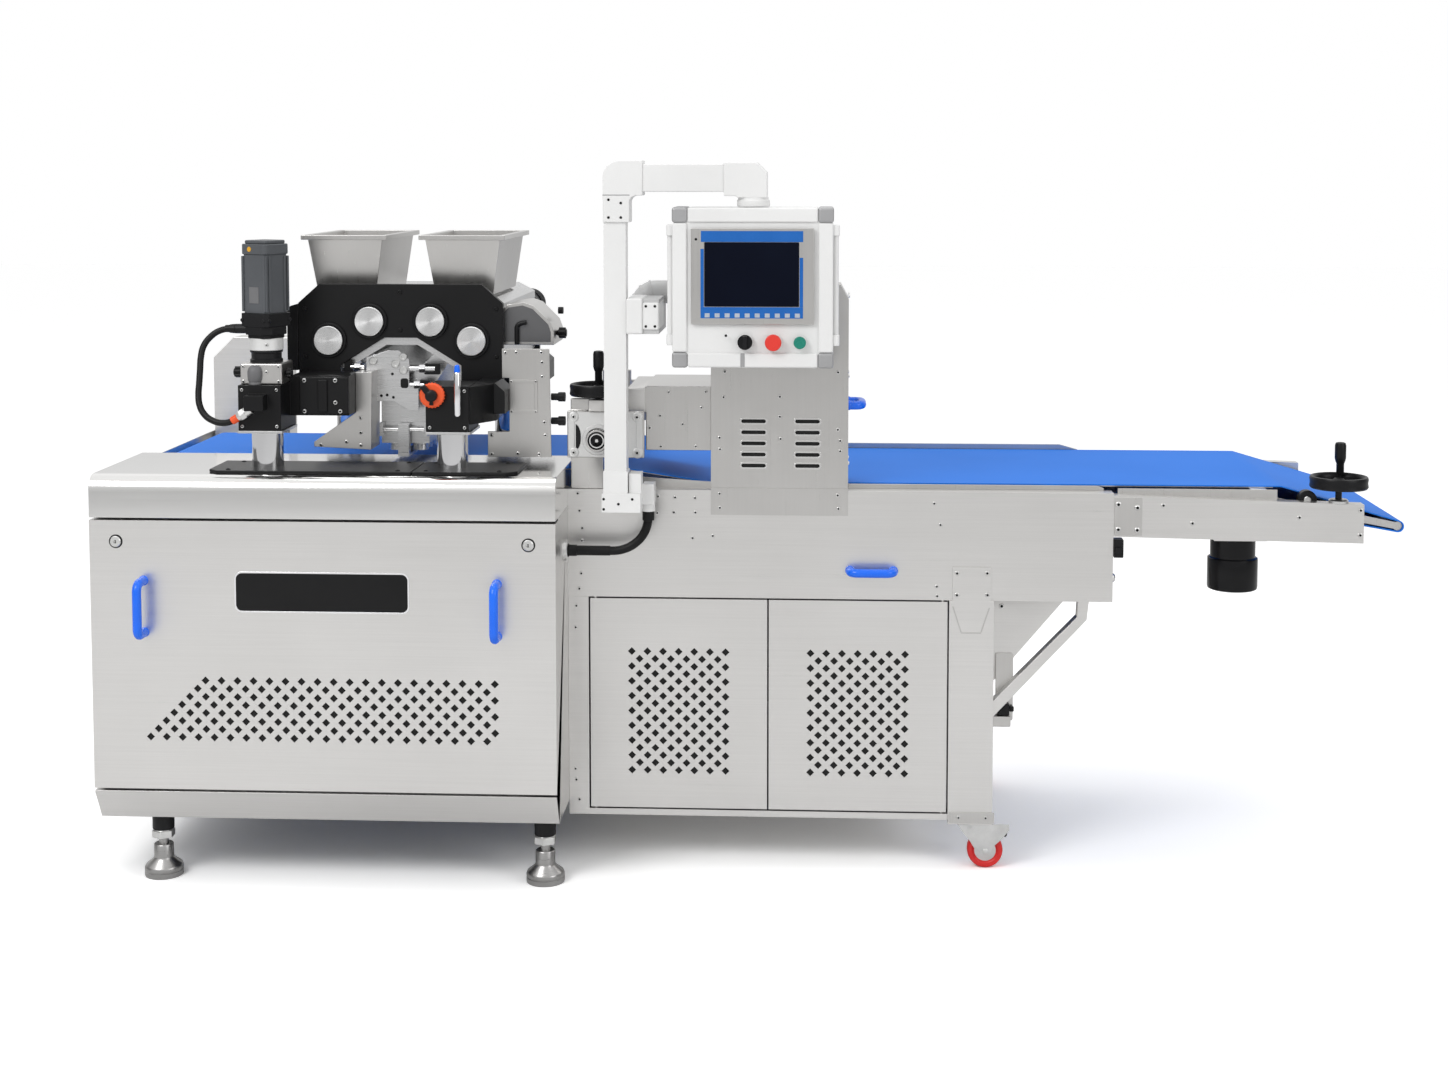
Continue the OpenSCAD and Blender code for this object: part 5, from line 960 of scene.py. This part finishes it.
def press_and_tower():
    dress("press_station", "satin_plate", 2.5)
    slab("bearing_face", "frame", "pale_cast",
         [(-470, 1050), (-470, 1152), (-462, 1158), (-292, 1158), (-284, 1152), (-284, 1050), (-292, 1044),
          (-462, 1044)], "Y", BEARING_FACE - 3, BEARING_FACE + 0.4, 2)
    dress("press_carriage", "black_cast", 1)
    at = (PRESS_X, 0, PRESS_Z)
    roller = BODY_OF["press_roller"]
    turned("press_roller_knob", roller, "black_moulding", [at], FRONT,
           [(0.01, 324.5), (23, 324.5), (26, 322.5), (27, 319), (27, 307), (10, 306.5)], steps=48)
    turned("press_roller_rings", roller, "pale_cast", [at], FRONT,
           [(0.01, 326), (3.6, 326), (4.6, 324.3), (15.4, 324.3), (15.8, 325.6), (18.2, 325.6),
            (18.6, 324.3)], steps=40)
    dress("press_roller", "satin_plate", 1)
    rings = [(PRESS_X, BEARING_FACE, PRESS_Z)]
    turned("bearing_cover", BODY_OF["press_carriage"], "pale_cast", rings, FRONT,
           [(28, 0), (28, 4), (30, 6), (37, 6), (40, 3), (40, 0)], steps=48)
    # Black D-shaped sheet on the bearing face: painted shade of the hollow there.
    hollow = [(-452, 1060)] + [(-452 + 13 * math.cos(math.radians(a)),
                                1094 + 32 * math.sin(math.radians(a)))
                               for a in range(-75, 76, 15)] + [(-452, 1128)]
    slab("bearing_hollow_painted_shade", "frame", "black_cast", hollow, "Y", BEARING_FACE - 3.8, BEARING_FACE - 2.6, 0.3)
    bosses = [(x, z) for x in (-457, -297) for z in (1146, 1056)]
    bm = bmesh.new()
    for x, z in bosses:
        lathe(bm, [(0.01, 6), (10, 6), (13, 4), (15, 0)], (x, BEARING_FACE, z), FRONT, 28)
    for x in (-463, -292):
        box(bm, (x - 8, BEARING_FACE - 5, 1060), (x + 8, BEARING_FACE, 1142))
    piece("bearing_plate_ribs", bm, "frame", "pale_cast", edge=2)
    turned("press_screw_boss", "frame", "machined", [(PRESS_X, SHEET_FACE, 1160)], Z,
           [(20, 0), (21, 1), (21, 26), (19, 30), (9, 30.4)], steps=36)
    hand_wheel("press_wheel_rim", BODY_OF["press_handwheel"], (PRESS_X, SHEET_FACE, 1215), 55, (-4, 50, 0),
               ("press_handwheel",))
    screws("bearing_plate_screws", "frame", on_front(BEARING_FACE - 6, *bosses), FRONT, 6)
    blocks("small_gear_box", "frame", "brushed_sheet", [((-325, -272, 1155), (-281, -268, 1214))], 1)
    screws("gear_box_screws", "frame",
           on_front(-270, (-220, 1206), (-242, 1146), (-185, 1125), (-268, 1115), (-240, 1068),
                    (-152, 1069), (-138, 1167), (-127, 1207)), FRONT, 4.5)
    dress("tower_housing", "satin_plate", 1.2)
    # Black sheet behind the vent holes: painted shade of the housing's dark inside.
    blocks("tower_vent_painted_shade", "frame", "painted_shade_black",
           [((-60, SHEET_FACE + 3.2, 1018.5), (185, SHEET_FACE + 7, 1160))], 1)
    bm = bmesh.new()
    for x in (-37, 98):
        for k in range(5):
            z = 1019 + 28 * k
            ring_plate(bm, rounded((x - 4, z - 4), (x + 66, z + 14), 9),
                       rounded((x + 0.5, z + 0.5), (x + 61.5, z + 9.5), 4.4), "Y",
                       SHEET_FACE - 1.2, SHEET_FACE + 3)
    piece("tower_vent_rims", bm, "frame", "polished_sheet", edge=0.5)
    tower = [(-78, 1260), (205, 1260), (-81, 1196), (60, 1198), (60, 1148), (62, 1092), (-91, 1094),
             (-90, 1065), (205, 1116), (211, 1088), (211, 1062)]
    screws("tower_screws", "frame", on_front(SHEET_FACE, *tower), FRONT, 5)
    screws("tower_base_screws", "frame",
           on_front(TOWER_FOOT_FACE, (-91, 953), (-90, 917), (205, 951), (207, 917)), FRONT, 5)
    side = [(TOWER_SIDE, y, z) for y in (-275, -175) for z in (1030, 1250, 1450)]
    screws("tower_side_screws", "frame", side, RIGHT, 5)


press_and_tower()


# Panel on its post and arm

def panel_and_arm():
    dress("panel_post", "white_coat", 4)
    dress("stay_pipe", "pipe_grey", 3)
    arm = BODY_OF["panel_arm"]
    small = (3.4, 1.6, "black_moulding")
    bend = [(-366 + 40 - 40 * math.cos(math.radians(15 * k)),
             1787 - 40 + 40 * math.sin(math.radians(15 * k))) for k in range(7)]
    left = [(-366, 1637)] + bend + [(-269, 1787), (-269, 1702), (-286, 1702), (-296, 1698), (-301, 1690),
                                    (-301, 1637)]
    bm = bmesh.new()
    prism(bm, left, "Y", -443, -377)
    prism(bm, [(-270, 1711), (-270, 1778), (-72, 1778), (-72, 1711)], "Y", -440, -380)
    prism(bm, [(-73, 1701), (-73, 1782), (8, 1782), (32, 1758), (32, 1697), (-40, 1697), (-44, 1701)], "Y",
          -444, -376)
    piece("arm_castings", bm, arm, "white_coat", ("panel_arm",), 6, 3, smooth=28)
    turned("arm_coupling", arm, "white_coat", [(PANEL_X, PANEL_Y, 0)], Z,
           [(0.01, 1675.5), (39, 1675.5), (40, 1677), (40, 1690), (37, 1693), (37, 1698), (0.01, 1698)],
           steps=48)
    blocks("arm_collar_seam", arm, "grey_caps", [((-366.5, -443.5, 1702), (-300.5, -376.5, 1704.5))], 0.5)
    screws("post_elbow_screws", arm, on_front(-443, (-352, 1692), (-322, 1684), (-352, 1649), (-322, 1649)),
           FRONT, *small)
    blocks("stay_clamp", "frame", "white_coat",
           [((-310, -446, 1366), (-270, -300, 1453)), ((-271, -442, 1376), (-230, -300, 1443))], 5, steps=3)
    screws("stay_screws", "frame", on_front(-442, (-262, 1434), (-240, 1434), (-262, 1385), (-240, 1385)),
           FRONT, *small)
    screws("post_foot_screws", "frame", on_front(-448, (-366, 962), (-296, 962), (-366, 937), (-330, 950)),
           FRONT, *small)
    bm = bmesh.new()
    for a in (25, 50, 75):
        turn = math.radians(a)
        centre = Vector((-254 - 34 * math.cos(turn), -248, 1423 + 34 * math.sin(turn)))
        way = Vector((math.sin(turn), 0, math.cos(turn)))
        lathe(bm, [(28, -2.5), (31.5, -2), (31.5, 2), (28, 2.5)], centre, way, 32)
    piece("stay_elbow_ribs", bm, "frame", "pipe_grey", smooth=40)
    hmi()


def hmi():
    body = BODY_OF["panel_enclosure"]
    blocks("hmi_case", body, "white_coat", [((-191, CASE_FACE + 6, 1293), (187, CASE_BACK - 6, 1669))], 3,
           ("panel_enclosure",))
    corners = [((x0, CASE_FACE, z0), (x0 + 38, CASE_BACK, z0 + 38))
               for x0 in (-197, 155) for z0 in (1287, 1637)]
    blocks("hmi_corner_caps", body, "grey_caps", corners, 7, steps=3)
    bars = [((-159, CASE_FACE, z0), (155, CASE_BACK, z0 + 36)) for z0 in (1288, 1638)]
    bars += [((x0, CASE_FACE, 1325), (x0 + 36, CASE_BACK, 1637)) for x0 in (-196, 156)]
    blocks("hmi_edge_bars", body, "white_coat", bars, 5, steps=3)
    bm = bmesh.new()
    for s in (-1, 1):
        x = PANEL_X + s * 200
        bar(bm, (x, -448, 1358), (x, -448, 1616), 7, sides=20)
        for z in (1341, 1606):
            prism(bm, rounded((x - 9, -462), (x + 9, -430), 6), "Z", z, z + 26)
    piece("hmi_side_grips", bm, body, "white_coat", edge=2)
    blocks("screen_bezel", body, "satin_plate", [((-150, -474, 1393), (146, -468, 1625))], 2,
           ("panel_screen",))
    bands = [(-126, 119.5, 1591.5, 1618), (-127, 119.5, 1408, 1435), (-127, -119, 1435.2, 1575),
             (111, 119.5, 1435.2, 1554)]
    blocks("screen_bands", body, "screen_blue",
           [((x0, -475, z0), (x1, -473.8, z1)) for x0, x1, z0, z1 in bands], 0.3)
    slab("screen_glass", body, "screen_dark", rounded((-118, 1436), (110, 1591), 2), "Y",
         -475.6, -473.8, 0.3)
    keys = [((-117 + 24.1 * k, -475.8, 1410), (-105 + 24.1 * k, -474.8, 1420)) for k in range(10)]
    blocks("screen_keys", body, "key_grey", keys, 0.8)
    blocks("hmi_latch", body, "grey_caps", [((-31, -470.5, 1290), (-21, -467, 1323))], 1)
    screws("hmi_front_screws", body, on_front(-474, (-138, 1598), (-66, 1366)), FRONT, 3.4, 1.2,
           "black_moulding")
    for node, x, r in (("selector_knob", -20, 15), ("stop_button", 48, 17), ("start_button", 112, 12)):
        turned(node + "_collar", body, "white_coat", [(x, CASE_FACE, 1350)], FRONT,
               [(r + 1.5, -0.5), (r + 1.7, 1.0), (r + 4.2, 0.9), (r + 4.8, 0)], steps=36)
    dress("selector_knob", "black_moulding", 1.2)
    dress("stop_button", "red_moulding", 3)
    dress("start_button", "green_moulding", 1.5)
    rear = [(x, CASE_BACK - 6, z) for x in (-150, 146) for z in (1340, 1620)]
    screws("hmi_back_screws", body, rear, BACK, 5)


panel_and_arm()


# Right cabinet, legs and casters

def right_cabinet():
    dress("cabinet_frame", "brushed_sheet", 1.2)
    for node, x0 in (("left_door", -419), ("right_door", 33)):
        dress(node, "brushed_sheet", 0.8)
        # Black sheet behind each door's vent holes: painted shade of the cabinet's dark inside.
        blocks(node + "_vent_painted_shade", BODY_OF[node], "painted_shade_black",
               [((x0 + 85, SHEET_FACE + 2.2, 222), (x0 + 363, SHEET_FACE + 8, 570))], 1)
    dress("right_legs", "brushed_sheet", 1.2)
    tongue = [(504, 757), (579, 758), (504, 702), (580, 703)]
    screws("tongue_screws", "frame", on_front(LEG_FACE, *tongue), FRONT, 6)
    blocks("leg_toe_plate", "frame", "satin_plate", [((488, LEG_FACE - 4, 120), (602, LEG_FACE, 148))], 1)
    screws("toe_screws", "frame", on_front(LEG_FACE - 4, (512, 135), (580, 135)), FRONT, 5)
    blocks("leg_clamp", "frame", "black_moulding",
           [((610, -270, 389), (640, -245, 419)), ((640, -262, 397), (652, -253, 411))], 3)
    blocks("leg_bracket", "frame", "satin_plate", [((597, -272, 361), (643, -250, 388))], 3)
    slab("leg_hanger_plate", "frame", "satin_plate", rounded((606, 372), (650, 545), 5), "Y",
         -250, -243.5, 0.8)
    bm = bmesh.new()
    for (x0, z0), (x1, z1) in (((494, 673), (515, 608)), ((585, 670), (565, 608)),
                               ((515, 606), (565, 606))):
        across = Vector((z1 - z0, x0 - x1)).normalized() * 1.6
        prism(bm, [(x0 + across.x, z0 + across.y), (x1 + across.x, z1 + across.y),
                   (x1 - across.x, z1 - across.y), (x0 - across.x, z0 - across.y)], "Y",
              LEG_FACE - 1.2, LEG_FACE + 0.4)
    piece("leg_press_ridges", bm, "frame", "satin_plate", edge=0.5)
    screws("gusset_screws", "frame", on_front(-243, (620, 664), (632, 532)), FRONT, 7, 4)
    back = [(x, SHEET_BACK, z) for x in (-380, 30, 440) for z in (180, 410, 650)]
    screws("cabinet_back_screws", "frame", back, BACK, 6)
    for node, wheel, y in (("caster_fork_front", "caster_wheel_front", -265),
                           ("caster_fork_rear", "caster_wheel_rear", 425)):
        caster(node, wheel, y)


def caster(fork, wheel, y):
    rides = BODY_OF[fork]
    dress(fork, "zinc", 2)
    turned(fork + "_race", rides, "zinc", [(SWIVEL_X, y, 0)], Z,
           [(10, 103.5), (24, 103.5), (25, 106), (25, 110), (22, 114), (10, 114.5)])
    bm = bmesh.new()
    prism(bm, [(612, 97), (638, 89), (634, 80), (616, 79)], "Y", y - 14, y + 14)
    piece(fork + "_brake", bm, rides, "black_moulding", edge=2)
    cheek = [(510, 114), (524, 93), (545, 68), (566, 42), (574, 34), (588, 34), (596, 42), (604, 60),
             (622, 77), (641, 100), (641, 116)]
    slab(fork + "_cheek", rides, "zinc", cheek, "Y", y - 24, y - 21, 1.2)
    ends = [(AXLE_X, y - 22, AXLE_Z)]
    turned(fork + "_axle_nut", rides, "zinc", ends, FRONT,
           [(0.01, 6), (6, 6), (8.5, 4.5), (8.5, 0), (0.01, -0.2)], steps=6)
    bm = bmesh.new()
    tread = [(6.2, -15), (14, -15), (16, -13.4), (30, -13.4), (33, -16), (42, -16), (44.2, -13), (45, -8)]
    lathe(bm, tread + [(r, -h) for r, h in reversed(tread)] + [tread[0]], (AXLE_X, y, AXLE_Z), FRONT, 48)
    piece(wheel + "_tyre", bm, BODY_OF[wheel], "red_tyre", (wheel,), smooth=35)
    turned(wheel + "_hub", BODY_OF[wheel], "zinc", [(AXLE_X, y, AXLE_Z)], FRONT,
           [(6.3, 13.6), (6.3, 15.6), (13, 15.4), (15, 14), (27, 13.9), (27.4, 13.3)], steps=32)


right_cabinet()


# Floor, backdrop light and lamps

def set_stage():
    bm = bmesh.new()
    bmesh.ops.create_grid(bm, x_segments=1, y_segments=1, size=30)
    mesh = bpy.data.meshes.new("floor")
    bm.to_mesh(mesh)
    bm.free()
    floor = bpy.data.objects.new("floor", mesh)
    bpy.context.scene.collection.objects.link(floor)
    mesh.materials.append(floor_finish())
    light_world()
    for name, place, size, power in (("key", (-3.2, -4.2, 4.6), (2.6, 2.6), 140),
                                     ("fill", (4.4, -3.6, 3.0), (2.4, 3.0), 50),
                                     ("top", (0, 0.4, 5.2), (4.5, 2.5), 45)):
        lamp = bpy.data.lights.new(name, "AREA")
        lamp.shape, lamp.size, lamp.size_y, lamp.energy = "RECTANGLE", *size, power
        holder = bpy.data.objects.new(name, lamp)
        holder.location = place
        holder.rotation_euler = (Vector((0, 0, 0.9)) - Vector(place)).to_track_quat("-Z", "Y").to_euler()
        bpy.context.scene.collection.objects.link(holder)


def floor_finish():
    """Pale floor that the lamps bring up to white, so that only its shadows show."""
    made = bpy.data.materials.new("floor")
    made.use_nodes = True
    tree = made.node_tree
    shader = tree.nodes["Principled BSDF"]
    shader.inputs["Roughness"].default_value = 0.8
    shader.inputs["Specular IOR Level"].default_value = 0.0
    path = add(tree, "LightPath")
    mirrored = add(tree, "Math", operation="MAXIMUM")
    tree.links.new(path.outputs["Is Glossy Ray"], mirrored.inputs[0])
    tree.links.new(path.outputs["Is Transmission Ray"], mirrored.inputs[1])
    tone = None
    for sees, level in ((mirrored.outputs[0], 0.74), (path.outputs["Is Camera Ray"], 1.31)):
        step = add(tree, "Mix", data_type="RGBA")
        step.inputs[6].default_value = (0.75, 0.75, 0.75, 1)
        step.inputs[7].default_value = (level, level, level, 1)
        tree.links.new(sees, step.inputs[0])
        if tone:
            tree.links.new(tone, step.inputs[6])
        tone = step.outputs[2]
    tree.links.new(tone, shader.inputs["Base Color"])
    return made


def light_world():
    """White all round, with a darker card at each side for the bright metal to mirror."""
    world = bpy.data.worlds.new("studio")
    bpy.context.scene.world = world
    world.use_nodes = True
    tree = world.node_tree
    soft = tree.nodes["Background"]
    soft.inputs["Color"].default_value = (1, 1, 1, 1)
    soft.inputs["Strength"].default_value = 0.76
    seen = add(tree, "Background", Strength=1.0, Color=(1, 1, 1, 1))
    mirrored = add(tree, "Background", Strength=1.0)
    coords = add(tree, "TexCoord")
    split = add(tree, "SeparateXYZ")
    tree.links.new(coords.outputs["Generated"], split.inputs[0])
    away = add(tree, "Math", operation="ABSOLUTE")
    tree.links.new(split.outputs["X"], away.inputs[0])

    def fade(source, near, far, start, end):
        ramp = add(tree, "MapRange", interpolation_type="SMOOTHSTEP")
        ramp.inputs["From Min"].default_value, ramp.inputs["From Max"].default_value = near, far
        ramp.inputs["To Min"].default_value, ramp.inputs["To Max"].default_value = start, end
        tree.links.new(source, ramp.inputs["Value"])
        return ramp.outputs[0]

    def join(operation, one, two):
        node = add(tree, "Math", operation=operation)
        tree.links.new(one, node.inputs[0])
        tree.links.new(two, node.inputs[1])
        return node.outputs[0]

    room = join("ADD", fade(split.outputs["Z"], 0.05, 0.7, 0.64, 1.0),
                fade(split.outputs["Y"], 0.1, 0.8, 0.0, 0.08))
    room = join("MULTIPLY", room, fade(away.outputs[0], 0.80, 0.94, 1.0, 0.25))
    tree.links.new(room, mirrored.inputs["Color"])
    path = add(tree, "LightPath")
    either = join("MAXIMUM", path.outputs["Is Glossy Ray"], path.outputs["Is Transmission Ray"])
    shown = soft.outputs[0]
    for sees, sky in ((either, mirrored), (path.outputs["Is Camera Ray"], seen)):
        pick = add(tree, "MixShader")
        tree.links.new(sees, pick.inputs[0])
        tree.links.new(shown, pick.inputs[1])
        tree.links.new(sky.outputs[0], pick.inputs[2])
        shown = pick.outputs[0]
    tree.links.new(shown, tree.nodes["World Output"].inputs[0])


set_stage()
bpy.context.scene.view_settings.view_transform = "Standard"
